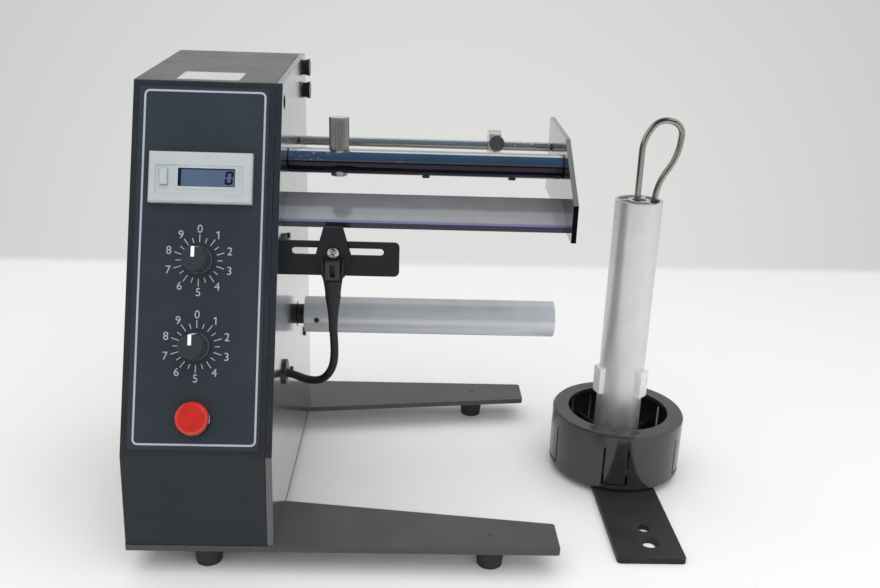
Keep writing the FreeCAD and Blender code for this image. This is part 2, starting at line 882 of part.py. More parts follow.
def knob(label, rise):
    """A fluted knob: flange, tapered body and a flat cap, with a recess over the nut."""
    foot = "overlayThickness + panelClearance * 2"
    roof = "potBushProud + potNutThickness"
    socket = "potShaftProud + keyClearance"
    hollow = "knobRootRadius - knobWall"
    body = turned([("potShaftRadius + runningClearance", roof), (hollow, roof), (hollow, foot),
                   ("knobFlangeRadius", foot), ("knobFlangeRadius", "knobFlangeHeight"),
                   ("knobRootRadius", "knobFlangeHeight + knobEdge"),
                   ("knobTopRadius", "knobLength - knobEdge"), ("knobTopRadius - knobEdge", "knobLength"),
                   ("0", "knobLength"), ("0", socket), ("potShaftRadius + runningClearance", socket)])
    grip = sketchOn(body, "XY_Plane", "knobFlangeHeight + knobGripStart")
    outer = "knobRootRadius + knobFluteDepth"
    outline(grip, [("knobRootRadius - knobFluteDepth", "0"), (outer, "knobFluteHalfWidth"),
                   (outer, "-knobFluteHalfWidth")])
    flute = pocket(body, grip, "knobLength", back=True)
    polar(body, flute, "knobFlutes")
    named(body, label, onPanelAt(rise), onPanel)


def potentiometers():
    """The two rotary controls: fixed bodies with threaded bushes, and the shafts that turn."""
    shank = "potShaftRadius - potShaftStep"
    back = "-coverWall - potBodyDepth - panelClearance"
    floor = back + " + potFloor"
    bodies = []
    for rise in ("lengthDialRise", "speedDialRise"):
        bush = fuse(rod("potBodyRadius", "potBodyDepth", 0, rise, back),
                    rod("potBushRadius", "coverWall + panelClearance + potBushProud", 0, rise,
                        "-coverWall - panelClearance"))
        bore = rod(shank + " + runningClearance", "potBodyDepth + potBushProud * 2", 0, rise, floor)
        bodies.append(cut(bush, bore))
    named(group(*bodies), "potentiometers", onPanelAt(0), onPanel)
    low = floor + " + endPlay"
    step = "potBushProud + keyClearance"
    for prefix in ("length", "speed"):
        shaft = fuse(rod(shank, "%s - (%s)" % (step, low), 0, 0, low),
                     rod("potShaftRadius", "potShaftProud - (%s)" % step, 0, 0, step))
        named(group(shaft), prefix + "_shaft", onPanelAt(size[prefix + "DialRise"]), onPanel)


def hexagon(across, height, x=0, y=0, z=0, turn=None):
    """A six-sided block, by its width across the flats."""
    thing = document.addObject("Part::Prism", "Hexagon")
    thing.Polygon = 6
    bind(thing, "Circumradius", "%s / 3 ^ 0.5" % across)
    bind(thing, "Height", height)
    return put(thing, x, y, z, turn)


def potNuts():
    nuts = []
    for rise in ("lengthDialRise", "speedDialRise"):
        nut = hexagon("potNutAcross", "potNutThickness", 0, rise, "overlayThickness")
        nuts.append(cut(nut, rod("potBushRadius + runningClearance", "potNutThickness * 3", 0, rise,
                                 "-potNutThickness")))
    named(group(*nuts), "pot_nuts", onPanelAt(0), onPanel)


def powerSwitch():
    place = onPanelAt(size["buttonRise"])
    lip = "switchThreadRadius - buttonBezelEdge"
    seat = "overlayThickness + buttonBezelEdge"
    top = "overlayThickness + buttonBezelHeight"
    mouth = "buttonRadius + buttonGap"
    bezel = turned([(lip, "overlayThickness"), ("buttonBezelRadius", "overlayThickness"),
                    ("buttonBezelRadius", top + " - buttonBezelEdge"),
                    ("buttonBezelRadius - buttonBezelEdge", top), (mouth, top), (mouth, seat), (lip, seat)])
    named(bezel, "switch_bezel", place, onPanel)
    barrel = fuse(rod("switchThreadRadius", "switchBodyDepth + overlayThickness", 0, 0, "-switchBodyDepth"),
                  rod("switchBodyRadius", "switchBodyDepth - switchThreadLength", 0, 0, "-switchBodyDepth"),
                  rod("switchBodyRadius + switchNutOver", "switchNutThickness", 0, 0,
                      "-coverWall - panelClearance - switchNutThickness"))
    well = rod("switchBore", "switchWell * 2", 0, 0, "-switchWell")
    named(cut(barrel, well), "switch_body", place, onPanel)
    low = seat + " + panelClearance + buttonTravel"
    stem = "switchBore - keyClearance"
    cap = turned([("0", "buttonTravel - buttonStem"), (stem, "buttonTravel - buttonStem"), (stem, low),
                  ("buttonRadius", low), ("buttonRadius", "buttonProud - buttonShoulder"),
                  ("buttonRadius - buttonRimWidth", "buttonProud - buttonRimFall"),
                  ("buttonRadius - buttonDomeWidth", "buttonProud - buttonDomeFall"), ("0", "buttonProud")])
    named(cap, "power_button", place, onPanel)


def chamferedRod(radius, length):
    """A bar along X with both ends chamfered."""
    bar = rodX(radius, length, 0, 0, 0)
    document.recompute()
    ends = document.addObject("Part::Chamfer", "Ends")
    ends.Base = bar
    far = bar.Shape.BoundBox.XMax
    ends.Edges = [(number, size["barChamfer"], size["barChamfer"])
                  for number, edge in enumerate(bar.Shape.Edges, 1)
                  if edge.BoundBox.XMax < 0.01 or edge.BoundBox.XMin > far - 0.01]
    return ends


def endTaps():
    reach = "tapDepth + screwHeadHeight"
    bore = "tapRadius + runningClearance"
    return [rodX(bore, reach, "-screwHeadHeight", 0, 0),
            rodX(bore, reach, "barSpan - tapDepth", 0, 0)]


def crossPlaces():
    return ["crossFirstX + crossPitch * %d" % number for number in range(3)]


def bars():
    guide = cut(chamferedRod("guideRadius", "barSpan"), *endTaps())
    named(guide, "guide_shaft", aboveBase(0, size["guideY"], size["guideHeight"]))
    holes = []
    for x in crossPlaces():
        holes.append(rod("crossHoleRadius", "pressRadius * 3", x, 0, "-pressRadius * 1.5"))
        holes.append(rod("thumbNeckRadius + buttonGap", "pressRadius", x, 0, "pressRadius - spotFaceDepth"))
    press = cut(chamferedRod("pressRadius", "barSpan"), *(endTaps() + holes))
    named(press, "press_bar", aboveBase(0, size["pressY"], size["pressHeight"]))
    grubs = []
    for x in crossPlaces()[1:]:
        grubs.append(rod("crossHoleRadius - runningClearance", "pressRadius * 2 - spotFaceDepth", x, 0,
                         "-pressRadius - tipProud"))
    named(group(*grubs), "grub_screws", aboveBase(0, size["pressY"], size["pressHeight"]))


def peelBar():
    body = newBody()
    face = sketchOn(body, "YZ_Plane")
    outline(face, [("peelBackY", "peelBackHeight"), ("peelCrestY", "peelCrestHeight"),
                   ("peelNoseY + peelNoseRound / 2", "peelCrestHeight - peelNoseRound"),
                   ("peelNoseY", "peelCrestHeight - peelNoseRound * 1.5"),
                   ("peelNoseY", "peelCrestHeight - peelNoseDrop"),
                   ("peelCrestY", "peelCrestHeight - peelNoseDrop"),
                   ("peelBackY", "peelBackHeight - peelThickness")])
    pad(body, face, "barSpan")
    taps = sketchOn(body, "YZ_Plane")
    ring(taps, *barEnds()[2], "tapRadius + runningClearance")
    pocket(body, taps, "tapDepth", back=True)
    taps = sketchOn(body, "YZ_Plane", "barSpan")
    ring(taps, *barEnds()[2], "tapRadius + runningClearance")
    pocket(body, taps, "tapDepth")
    named(body, "peel_plate", aboveBase(0, 0, 0))


def endPlate():
    body = newBody()
    face = sketchOn(body, "YZ_Plane")
    outline(face, [("endBackY", "endBackTop"), ("endShoulderY", "endShoulderTop"),
                   ("endNoseY", "endNoseTop"), ("endNoseY", "endNoseBottom"),
                   ("endBackY", "endBackBottom")])
    pad(body, face, "endThickness")
    holes = sketchOn(body, "YZ_Plane")
    for y, height in barEnds():
        ring(holes, y, height, "tapRadius + runningClearance")
    pocket(body, holes)
    named(body, "end_plate", aboveBase(size["barSpan"], 0, 0))


def barScrews():
    screws = []
    for y, height in barEnds():
        length = "(tapDepth - 1)"
        screws.append(fuse(rodX("screwHeadRadius", "screwHeadHeight", "barSpan + endThickness", y, height),
                           rodX("tapRadius", "endThickness + " + length, "barSpan - " + length, y, height)))
        screws.append(fuse(rodX("screwHeadRadius", "screwHeadHeight", "-sideThickness - screwHeadHeight", y,
                               height),
                           rodX("tapRadius", "sideThickness + " + length, "-sideThickness", y, height)))
    named(group(*screws), "bar_screws", aboveBase(0, 0, 0))


def knurled(label, radius, length, neckRadius, neckLength, shank, shankLength, place, turn):
    """A thumb screw: plain shank below its seat, a neck, and a straight-knurled head."""
    top = "%s + %s" % (neckLength, length)
    low = "-(%s)" % shankLength
    body = turned([("0", low), (shank, low), (shank, "runningClearance"),
                   (neckRadius, "runningClearance"), (neckRadius, neckLength), (radius, neckLength),
                   (radius, top + " - thumbEdge"), (radius + " - thumbEdge", top), ("0", top)])
    face = sketchOn(body, "XY_Plane", neckLength + " + knurlLand")
    outer = radius + " + knurlDepth"
    outline(face, [(radius + " - knurlDepth", "0"), (outer, "knurlHalfWidth"), (outer, "-knurlHalfWidth")])
    groove = pocket(body, face, length, back=True)
    polar(body, groove, "thumbFlutes")
    named(body, label, place, turn)


def thumbScrews():
    seat = size["pressHeight"] + size["pressRadius"] - size["spotFaceDepth"]
    knurled("thumb_screw", "thumbHeadRadius", "thumbHeadLength", "thumbNeckRadius", "thumbNeckLength",
            "crossHoleRadius - runningClearance", "pressRadius * 2 - spotFaceDepth + tipProud",
            aboveBase(size["crossFirstX"], size["pressY"], seat), upright)
    tilt = Rotation(Vector(1, 0, 0), -size["collarTilt"])
    axis = aboveBase(size["collarX"], size["guideY"], size["guideHeight"])
    seat = axis + tilt.multVec(Vector(0, -size["collarRadius"], 0))
    knurled("collar_screw", "collarHeadRadius", "collarHeadLength", "collarNeckRadius",
            "collarHeadStart - collarRadius", "collarScrewRadius",
            "collarRadius - guideRadius - endPlay", seat, tilt.multiply(alongMinusY))
    collar = rodX("collarRadius", "collarWidth", "-collarWidth / 2", 0, 0)
    bore = rodX("guideRadius + runningClearance", "collarWidth * 2", "-collarWidth", 0, 0)
    tap = rod("collarScrewRadius + runningClearance", "collarRadius + 2", 0, 0, 0, alongMinusY)
    named(cut(collar, bore, tap), "guide_collar", axis, tilt)


def sensorArm():
    body = newBody()
    face = sketchOn(body, "XZ_Plane")
    rectangle(face, "0", "bracketBottom", "bracketLength", "bracketTop - bracketBottom")
    rectangle(face, "slotStartX", "slotBottom", "slotEndX - slotStartX", "slotTop - slotBottom")
    plate = pad(body, face, "bracketThickness", back=True)
    across = Vector(0, 1, 0)
    corners = edgesAlong(plate.Shape, across, lambda point: point.x > size["bracketLength"] - 0.1)
    rounded = fillet(body, plate, corners, "bracketCorner")
    ends = edgesAlong(rounded.Shape, across,
                      lambda point: size["slotStartX"] - 0.1 < point.x < size["slotEndX"] + 0.1)
    fillet(body, rounded, ends, "(slotTop - slotBottom) / 2 - 0.05")
    flange = sketchOn(body, "YZ_Plane")
    rectangle(flange, "0", "bracketBottom", "bracketThickness + bracketFlange",
              "bracketTop - bracketBottom")
    pad(body, flange, "bracketThickness")
    holes = sketchOn(body, "YZ_Plane")
    for y, height in bracketScrewPlaces():
        ring(holes, y + " - sensorPlaneY", height, "tapRadius + runningClearance")
    pocket(body, holes, "bracketThickness * 2", back=True)
    named(body, "sensor_bracket", aboveBase(0, size["sensorPlaneY"], 0))
    screws = []
    for y, height in bracketScrewPlaces():
        screws.append(fuse(rodX("screwHeadRadius", "screwHeadHeight", "bracketThickness", y, height),
                           rodX("tapRadius", "bracketThickness + sideThickness", "-sideThickness", y,
                                height)))
    named(group(*screws), "bracket_screws", aboveBase(0, 0, 0))


def sensorCarriage():
    front = size["sensorPlaneY"] - size["carriageGap"]
    place = aboveBase(size["carriageX"], front, 0)
    body = newBody()
    face = sketchOn(body, "XZ_Plane")
    left = [("-carriageTopWidth / 2", "carriageTop"), ("-carriageWaistWidth / 2", "carriageWaist"),
            ("-carriageBottomWidth / 2", "carriageBottom")]
    outline(face, left + [(across[1:], up) for across, up in reversed(left)])
    pad(body, face, "carriageThickness")
    hole = sketchOn(body, "XZ_Plane")
    ring(hole, "0", "carriageScrewHeight", "carriageScrewRadius + runningClearance")
    pocket(body, hole)
    named(body, "sensor_carriage", place)
    low = "-carriageThickness - forkDepth"
    block = box("forkWidth", "forkDepth", "forkTop - carriageBottom", "-forkWidth / 2", low,
                "carriageBottom")
    slit = box("forkGap", "forkDepth", "forkTop - carriageBottom - forkCheek * 2", "-forkGap / 2",
               low + " - forkCheek", "carriageBottom + forkCheek")
    named(cut(block, slit), "sensor_head", place)
    back = "carriageGap + bracketThickness + panelClearance + carriageNutHeight"
    head = rod("carriageHeadRadius", "carriageHeadHeight", 0, "-carriageThickness", "carriageScrewHeight",
               alongMinusY)
    shank = rod("carriageScrewRadius", "carriageThickness + bracketThickness + carriageScrewTail", 0,
                "bracketThickness + carriageScrewTail", "carriageScrewHeight", alongMinusY)
    nut = rod("carriageHeadRadius", "carriageNutHeight", 0, back, "carriageScrewHeight", alongMinusY)
    named(fuse(head, shank, nut), "carriage_screw", place)
    y = front - size["carriageThickness"] - size["bootInset"]
    boot = cone("bootBottomRadius", "bootTopRadius", "bootLength", 0, 0, "-bootLength")
    mouth = rod("cableRadius + bootClearance", "bootLength / 3", 0, 0, "-bootLength")
    named(cut(boot, mouth), "sensor_boot",
          aboveBase(size["carriageX"], y, size["carriageBottom"]))
    return y


def roundedPath(points, share=0.45):
    """Straight runs joined by tangent arcs, each as large as its two runs allow."""
    edges = []
    start = points[0]
    radii = []
    for before, corner, after in zip(points, points[1:], points[2:]):
        back = before - corner
        ahead = after - corner
        half = (math.pi - back.getAngle(ahead)) / 2
        reach = share * min(back.Length, ahead.Length)
        radius = reach / math.tan(half)
        radii.append(round(radius, 1))
        first = corner + Vector(back).normalize() * reach
        last = corner + Vector(ahead).normalize() * reach
        bisector = (Vector(back).normalize() + Vector(ahead).normalize()).normalize()
        middle = corner + bisector * (radius / math.cos(half) - radius)
        edges.append(Part.LineSegment(start, first).toShape())
        edges.append(Part.Arc(first, middle, last).toShape())
        start = last
    edges.append(Part.LineSegment(start, points[-1]).toShape())
    return Part.Wire(edges), radii


def tubeAlong(points, radius):
    path, radii = roundedPath(points)
    direction = points[1] - points[0]
    profile = Part.Wire([Part.makeCircle(radius, points[0], direction)])
    solid = path.makePipeShell([profile], True, False)
    print("tube of radius", radius, "bends", radii, "length", round(path.Length, 1),
          "volume share", round(solid.Volume / (math.pi * radius ** 2 * path.Length), 4))
    return solid


def plain(shape, label, place=Vector(0, 0, 0), turn=upright):
    thing = document.addObject("Part::Feature", "Piece")
    thing.Shape = shape
    return named(thing, label, place, turn)


def sensorCable(bootY):
    """The cable leaves the boot, swings to the side plate and enters the grommet square on."""
    x, y, height = size["carriageX"], size["cableHoleY"], size["cableHoleHeight"]
    start = size["carriageBottom"] - size["bootLength"] + size["cableStartInset"]
    drop = Vector(size["cableDropX"], size["cableDropY"], size["cableDropHeight"])
    turn = Vector(size["cableTurnX"], size["cableTurnY"], size["cableTurnHeight"])
    mouth = Vector(x, bootY, start)
    route = [mouth, mouth + (drop - mouth) * 0.05 - Vector(0, 0, size["bootLength"] * 0.36), drop, turn,
             Vector(size["cableRunX"], y, height), Vector(size["cableEndX"], y, height)]
    plain(tubeAlong(route, size["cableRadius"]), "sensor_cable", aboveBase(0, 0, 0))
    middle = ("cableHoleY", "cableHoleHeight", alongX)
    collar = rod("grommetRadius", "grommetProud", 0, *middle)
    neck = rod("grommetRadius - grommetGroove", "sideThickness", "-sideThickness", *middle)
    inner = rod("grommetRadius", "grommetInside", "-sideThickness - grommetInside", *middle)
    bore = rod("grommetHole", "sideThickness * 6", "-sideThickness * 3", *middle)
    named(cut(fuse(collar, neck, inner), bore), "cable_grommet", aboveBase(0, 0, 0))


def spokes(count, inner, outer, thickness, length, turn):
    """Radial walls from one radius to another, evenly spaced about Z."""
    walls = []
    for number in range(count):
        wall = group(box("%s - (%s)" % (outer, inner), thickness, length, inner, "-%s / 2" % thickness, 0))
        wall.Placement = Placement(Vector(0, 0, 0), Rotation(Vector(0, 0, 1), turn + 360 * number / count))
        walls.append(wall)
    return walls


def extrusion(radius, wall, bore, hubWall, length, turn):
    """An aluminium core: outer wall, three spokes and a bored hub."""
    outer = cut(rod(radius, length), rod("%s - %s" % (radius, wall), length))
    hub = cut(rod("%s + %s" % (bore, hubWall), length), rod(bore, length))
    inner = "%s + %s - spokeBite" % (bore, hubWall)
    reach = "%s - %s + spokeBite" % (radius, wall)
    return fuse(outer, hub, *spokes(3, inner, reach, "spokeThickness", length, turn))


def takeUp():
    axis = aboveBase(0, takeupAxisY, size["takeupHeight"])
    bore = "spindleRadius + runningClearance"
    core = extrusion("takeupRadius", "takeupWall", bore, "takeupHubWall", "takeupLength", 30)
    screwAt = "tubeScrewX - takeupStartX"
    hole = rod("tubeScrewRadius + runningClearance", "takeupRadius * 1.1", 0, 0, screwAt, alongMinusY)
    tube = cut(core, hole)
    start = axis + Vector(size["takeupStartX"], 0, 0)
    named(tube, "takeup_tube", start, alongX)
    screw = rod("tubeScrewRadius", "takeupRadius - spindleRadius - endPlay * 2", 0,
                "-spindleRadius - endPlay", screwAt, alongMinusY)
    named(group(screw), "tube_screw", start, alongX)
    back = "motorPlateX - motorPlateThickness"
    hub = fuse(rod("spindleRadius", "spindleReach + spindleTail - (%s)" % back, 0, 0,
                   back + " - spindleTail"),
               rod("spindleRadius + spindleShoulder", "takeupStartX - endPlay", 0, 0, "endPlay"))
    named(hub, "spindle", axis, alongX)
    seat = back + " - clipThickness - clipGap"
    clip = cut(rod("clipRadius", "clipThickness", 0, 0, seat),
               rod("spindleRadius + wheelBoreGap", "clipThickness * 3", 0, 0, seat + " - clipThickness"))
    named(clip, "spindle_clip", axis, alongX)
    bushes = []
    for thickness, wall, collar in (("sideThickness", "-sideThickness", "-sideThickness - bushFlange"),
                                    ("motorPlateThickness", back, "motorPlateX")):
        sleeve = fuse(rod("bushRadius", thickness, 0, 0, wall),
                      rod("bushFlangeRadius", "bushFlange", 0, 0, collar))
        bushes.append(cut(sleeve, rod(bore, "bushFlange * 6", 0, 0, wall + " - bushFlange * 2")))
    named(group(*bushes), "spindle_bushes", axis, alongX)


def gearWheel(teeth, rootShare, tipShare, bore):
    """A spur wheel: a root disc and one straight-flanked tooth, repeated round the axis."""
    body = newBody()
    disc = sketchOn(body, "XY_Plane")
    pitch = "gearModule * %s / 2" % teeth
    ring(disc, "0", "0", pitch + " - gearModule * gearDedendum")
    ring(disc, "0", "0", bore)
    pad(body, disc, "gearFace")
    flank = sketchOn(body, "XY_Plane")
    root = pitch + " - gearModule * (gearDedendum + 0.2)"
    tip = pitch + " + gearModule * gearAddendum"
    wide = "gearModule * %.5f * %s" % (math.pi, rootShare)
    narrow = "gearModule * %.5f * %s" % (math.pi, tipShare)
    outline(flank, [(root, "-" + wide), (tip, "-" + narrow), (tip, narrow), (root, wide)])
    tooth = pad(body, flank, "gearFace")
    polar(body, tooth, teeth)
    return body


def gearTrain():
    axis = aboveBase(0, takeupAxisY, size["takeupHeight"])
    middle = (-size["sideThickness"] + size["motorPlateX"]) / 2
    near = Vector(middle - size["gearFace"] / 2, 0, 0)
    wheel = gearWheel("gearTeeth", "gearRootShare", "gearTipShare", "spindleRadius + wheelBoreGap")
    hubLength = "(-sideThickness - motorPlateX - bushFlange * 2 - clipGap)"
    hub = cut(rod("spindleRadius + gearHubWall", hubLength, 0, 0, "gearFace / 2 - %s / 2" % hubLength),
              rod("spindleRadius + wheelBoreGap", hubLength + " * 3", 0, 0, "-%s * 1.5" % hubLength))
    named(fuse(wheel, hub), "drive_gear", axis + near, alongX)
    pinionAxis = aboveBase(0, takeupAxisY, pinionAxisHeight)
    halfPitch = Rotation(Vector(1, 0, 0), 180 / size["pinionTeeth"])
    wheel = gearWheel("pinionTeeth", "pinionRootShare", "pinionTipShare", "motorShaftRadius + wheelBoreGap")
    named(wheel, "pinion", pinionAxis + near, halfPitch.multiply(alongX))
    low = "motorPlateX - motorPlateThickness - motorShaftInset"
    shaft = rod("motorShaftRadius", "-sideThickness - motorShaftFree - (%s)" % low, 0, 0, low)
    named(group(shaft), "motor_shaft", pinionAxis, alongX)


def motorUnit():
    """The geared motor on its plate, which four hexagonal posts carry off the side plate."""
    body = newBody()
    face = sketchOn(body, "YZ_Plane")
    rectangle(face, takeupY + " - standoffSpanY - motorPlateMargin",
              "takeupHeight - standoffLow - motorPlateMargin",
              "(standoffSpanY + motorPlateMargin) * 2", "standoffLow + standoffHigh + motorPlateMargin * 2")
    pad(body, face, "motorPlateThickness", back=True)
    holes = sketchOn(body, "YZ_Plane")
    ring(holes, takeupY, "takeupHeight", "bushRadius + runningClearance")
    ring(holes, takeupY, pinionHeight, "motorShaftRadius + motorShaftFree")
    for y, height in standoffPlaces():
        ring(holes, y, height, "tapRadius + runningClearance")
    pocket(body, holes)
    named(body, "motor_plate", aboveBase(size["motorPlateX"], 0, 0))
    posts = []
    screws = []
    length = "(-motorPlateX - sideThickness)"
    back = "motorPlateX - motorPlateThickness"
    for y, height in standoffPlaces():
        posts.append(cut(hexagon("standoffRadius * 2", length, "motorPlateX", y, height, alongX),
                         rodX("tapRadius + runningClearance", length, "motorPlateX", y, height)))
        screws.append(fuse(rodX("screwHeadRadius", "screwHeadHeight", back + " - screwHeadHeight", y, height),
                           rodX("tapRadius", "motorPlateThickness + standoffScrewReach", back, y, height)))
        screws.append(fuse(rodX("screwHeadRadius", "screwHeadHeight / 2", 0, y, height),
                           rodX("tapRadius", "sideThickness + standoffScrewReach",
                               "-sideThickness - standoffScrewReach", y, height)))
    named(group(*posts), "motor_standoffs", aboveBase(0, 0, 0))
    named(group(*screws), "standoff_screws", aboveBase(0, 0, 0))
    gearbox = rod("gearboxRadius", "gearboxLength", 0, 0, back + " - gearboxLength")
    can = rod("motorCanRadius", "motorCanLength", 0, 0, back + " - gearboxLength - motorCanLength")
    bore = rod("motorShaftRadius + runningClearance", "motorShaftInset * 2 + motorShaftFree", 0, 0,
               back + " - motorShaftInset - endPlay * 5")
    named(cut(fuse(gearbox, can), bore), "gear_motor",
          aboveBase(0, takeupAxisY, pinionAxisHeight), alongX)


def holderScrews():
    screws = []
    for y, height in holderScrewPlaces():
        head = cone("holderHeadRadius - holderHeadTaper", "holderHeadRadius", "holderHeadLength", 0, y,
                    height, alongX)
        back = "-sideThickness - holderNutThickness"
        shank = rodX("holderScrewRadius", "sideThickness + holderNutThickness", back, y, height)
        nut = rodX("holderHeadRadius", "holderNutThickness", back, y, height)
        screws.append(fuse(head, shank, nut))
    named(group(*screws), "holder_screws", aboveBase(0, 0, 0))


def controlBoard():
    """The control board: chips, a relay and two cans, placed by shares of the board."""
    face = "-sideThickness - boardStandoff - boardThickness"
    board = box("boardThickness", "boardWidth", "boardTall", face, boardY, boardHeight)
    holes = [rodX("tapRadius + runningClearance", "boardThickness * 3", face + " - boardThickness", y, height)
             for y, height in boardPosts()]
    parts = []
    for tall, wide, high, across, up in (("boardPartHeight", 0.24, 0.32, 0.24, 0.18),
                                         ("boardRelayHeight", 0.28, 0.28, 0.6, 0.5)):
        parts.append(box(tall, "boardWidth * %g" % wide, "boardTall * %g" % high, "%s - %s" % (face, tall),
                         "%s + boardWidth * %g" % (boardY, across),
                         "%s + boardTall * %g" % (boardHeight, up)))
    for across, up in ((0.32, 0.75), (0.74, 0.25)):
        parts.append(rodX("boardCanRadius", "boardCanHeight", face + " - boardCanHeight",
                          "%s + boardWidth * %g" % (boardY, across),
                          "%s + boardTall * %g" % (boardHeight, up)))
    named(fuse(cut(board, *holes), *parts), "control_board", aboveBase(0, 0, 0))
    posts = []
    for y, height in boardPosts():
        post = hexagon("boardPostAcross", "boardStandoff", "-sideThickness - boardStandoff", y, height,
                       alongX)
        pin = rodX("tapRadius", "boardStandoff + sideThickness + boardThickness", face, y, height)
        posts.append(fuse(post, pin))
    named(group(*posts), "board_posts", aboveBase(0, 0, 0))


def transformer():
    """A laminated core with three limbs and feet, and the coil round its middle limb."""
    core = box("coreWidth", "coreDepth", "coreTall", "coreX", "coreY", 0)
    feet = box("coreWidth", "coreDepth + coreFoot * 2", "coreFootThickness", "coreX", "coreY - coreFoot", 0)
    window = box("coreWidth - coreLimb * 2", "coreDepth * 2", "coreTall - coreLimb * 2", "coreX + coreLimb",
                 "coreY - coreDepth / 2", "coreLimb")
    leg = box("coreWidth / 3", "coreDepth", "coreTall", "coreX + coreWidth / 3", "coreY", 0)
    named(fuse(cut(core, window), leg, feet), "transformer_core", aboveBase(0, 0, 0))
    inset = "(coreLimb + coilClearance)"
    coil = box("coreWidth - %s * 2" % inset, "coreDepth + coilOver * 2", "coreTall - %s * 2" % inset,
               "coreX + " + inset, "coreY - coilOver", inset)
    hole = box("coreWidth / 3 + coilClearance * 2", "coreDepth + coilClearance * 2", "coreTall",
               "coreX + coreWidth / 3 - coilClearance", "coreY - coilClearance", 0)
    named(cut(coil, hole), "transformer_coil", aboveBase(0, 0, 0))


def powerInlet():
    """The mains inlet: a flanged shell with three flat pins, and the fuse holder above it."""
    back = size["housingDepth"]
    place = aboveBase(size["inletX"], back, size["inletHeight"])
    flange = box("inletWidth + inletFlange", "inletFlangeThickness", "inletTall + inletWall * 2",
                 "-(inletWidth + inletFlange) / 2", 0, "-inletTall / 2 - inletWall")
    body = box("inletWidth", "inletDepth", "inletTall", "-inletWidth / 2", "-inletDepth", "-inletTall / 2")
    well = box("inletWidth - inletWall * 2", "inletDepth", "inletTall - inletWall * 2",
               "-inletWidth / 2 + inletWall", "-inletDepth + inletFloor", "-inletTall / 2 + inletWall")
    pins = [box("pinWidth", "pinLength", "pinTall", "-pinWidth / 2 + pinPitch * %d" % step,
                "-inletDepth + inletFloor / 2", "-pinTall / 2 %s pinOffset" % sign)
            for step, sign in ((-1, "-"), (0, "+"), (1, "-"))]
    named(fuse(cut(fuse(flange, body), well), *pins), "power_inlet", place)
    cap = rod("fuseCapRadius", "fuseCapHeight", 0, "fuseCapHeight", 0, alongMinusY)
    barrel = rod("fuseBodyRadius", "fuseDepth", 0, 0, 0, alongMinusY)
    slot = box("fuseCapRadius", "fuseSlotDepth * 2", "fuseSlotWidth", "-fuseCapRadius / 2",
               "fuseCapHeight - fuseSlotDepth", "-fuseSlotWidth / 2")
    named(cut(fuse(cap, barrel), slot), "fuse_holder",
          aboveBase(size["inletX"], back, size["fuseHeight"]))


def holderArm():
    body = newBody()
    face = sketchOn(body, "XY_Plane")
    rectangle(face, "-armWidth / 2", "armFrontY - reelY", "armWidth", "reelY - armFrontY + armTail")
    plate = pad(body, face, "armThickness")
    corners = edgesAlong(plate.Shape, Vector(0, 0, 1), lambda point: True)
    fillet(body, plate, corners, "armCorner")
    holes = sketchOn(body, "XY_Plane")
    first = "armFrontY + armHoleFromEnd - reelY"
    ring(holes, "armHoleX", first, "armHoleRadius")
    ring(holes, "armHoleX", first + " + armHoleSpacing", "armHoleRadius")
    ring(holes, "0", "0", "axleRadius - axleStep + runningClearance")
    pocket(body, holes)
    sink = cone("armHoleRadius", "armSinkRadius", "armThickness * armSinkShare", "armHoleX", first,
                "armThickness * (1 - armSinkShare)")
    axis = Vector(reelX, size["reelY"], 0)
    named(cut(body, sink), "holder_arm", axis)
    axle = fuse(rod("axleRadius - axleStep", "armThickness", 0, 0, 0),
                rod("axleHeadRadius", "axleHeadHeight", 0, 0, "armThickness"),
                rod("axleRadius", "axleLength", 0, 0, "armThickness + axleHeadHeight"))
    named(axle, "holder_axle", axis)


def coreDrum():
    """The moulded core drum: a rim wall with a lip, sprung tongues, ribs and a split hub."""
    inner = "holderTubeRadius + runningClearance"
    wall = "drumRadius - drumWall"
    web = "tongueBottom + drumWebLift"
    floor = web + " + drumFloor"
    lip = "drumHeight - drumLipThickness"
    body = turned([(inner, web), (inner, "drumHubHeight"), ("drumHubRadius", "drumHubHeight"),
                   ("drumHubRadius", floor), (wall, floor), (wall, lip), ("drumMouthRadius", lip),
                   ("drumMouthRadius", "drumHeight"), ("drumRadius - drumChamfer", "drumHeight"),
                   ("drumRadius", "drumHeight - drumChamfer"), ("drumRadius", "drumChamfer"),
                   ("drumRadius - drumChamfer", "0"), (wall, "0"), (wall, web)])
    ribs = sketchOn(body, "XY_Plane", web)
    rectangle(ribs, "drumHubRadius - spokeBite", "-ribThickness / 2",
              wall + " - drumHubRadius + spokeBite * 2", "ribThickness")
    rib = pad(body, ribs, "drumFloor + ribHeight")
    polar(body, rib, "ribCount")
    slits = sketchOn(body, "XY_Plane", "tongueBottom")
    inside = wall + " - tongueRelief"
    reach = "drumWall + tongueRelief * 2"
    for side in ("-tongueWidth / 2 - tongueSlit", "tongueWidth / 2"):
        rectangle(slits, inside, side, reach, "tongueSlit")
    sides = pocket(body, slits, "drumHeight - tongueTop - tongueBottom", back=True)
    polar(body, sides, "tongueCount")
    foot = sketchOn(body, "XY_Plane", "tongueBottom")
    rectangle(foot, inside, "-tongueWidth / 2 - tongueSlit", reach, "tongueWidth + tongueSlit * 2")
    gap = pocket(body, foot, "tongueSlit", back=True)
    polar(body, gap, "tongueCount")
    notch = sketchOn(body, "XY_Plane", "drumHubHeight - notchDepth")
    rectangle(notch, "holderTubeRadius - notchWidth / 2", "-notchWidth / 2",
              "drumHubRadius - holderTubeRadius + notchWidth", "notchWidth")
    split = pocket(body, notch, "notchDepth", back=True)
    polar(body, split, "tongueCount")
    turn = Rotation(Vector(0, 0, 1), -90 + size["tongueTurn"])
    named(body, "core_drum", Vector(reelX, size["reelY"], size["armThickness"] + size["drumLift"]), turn)


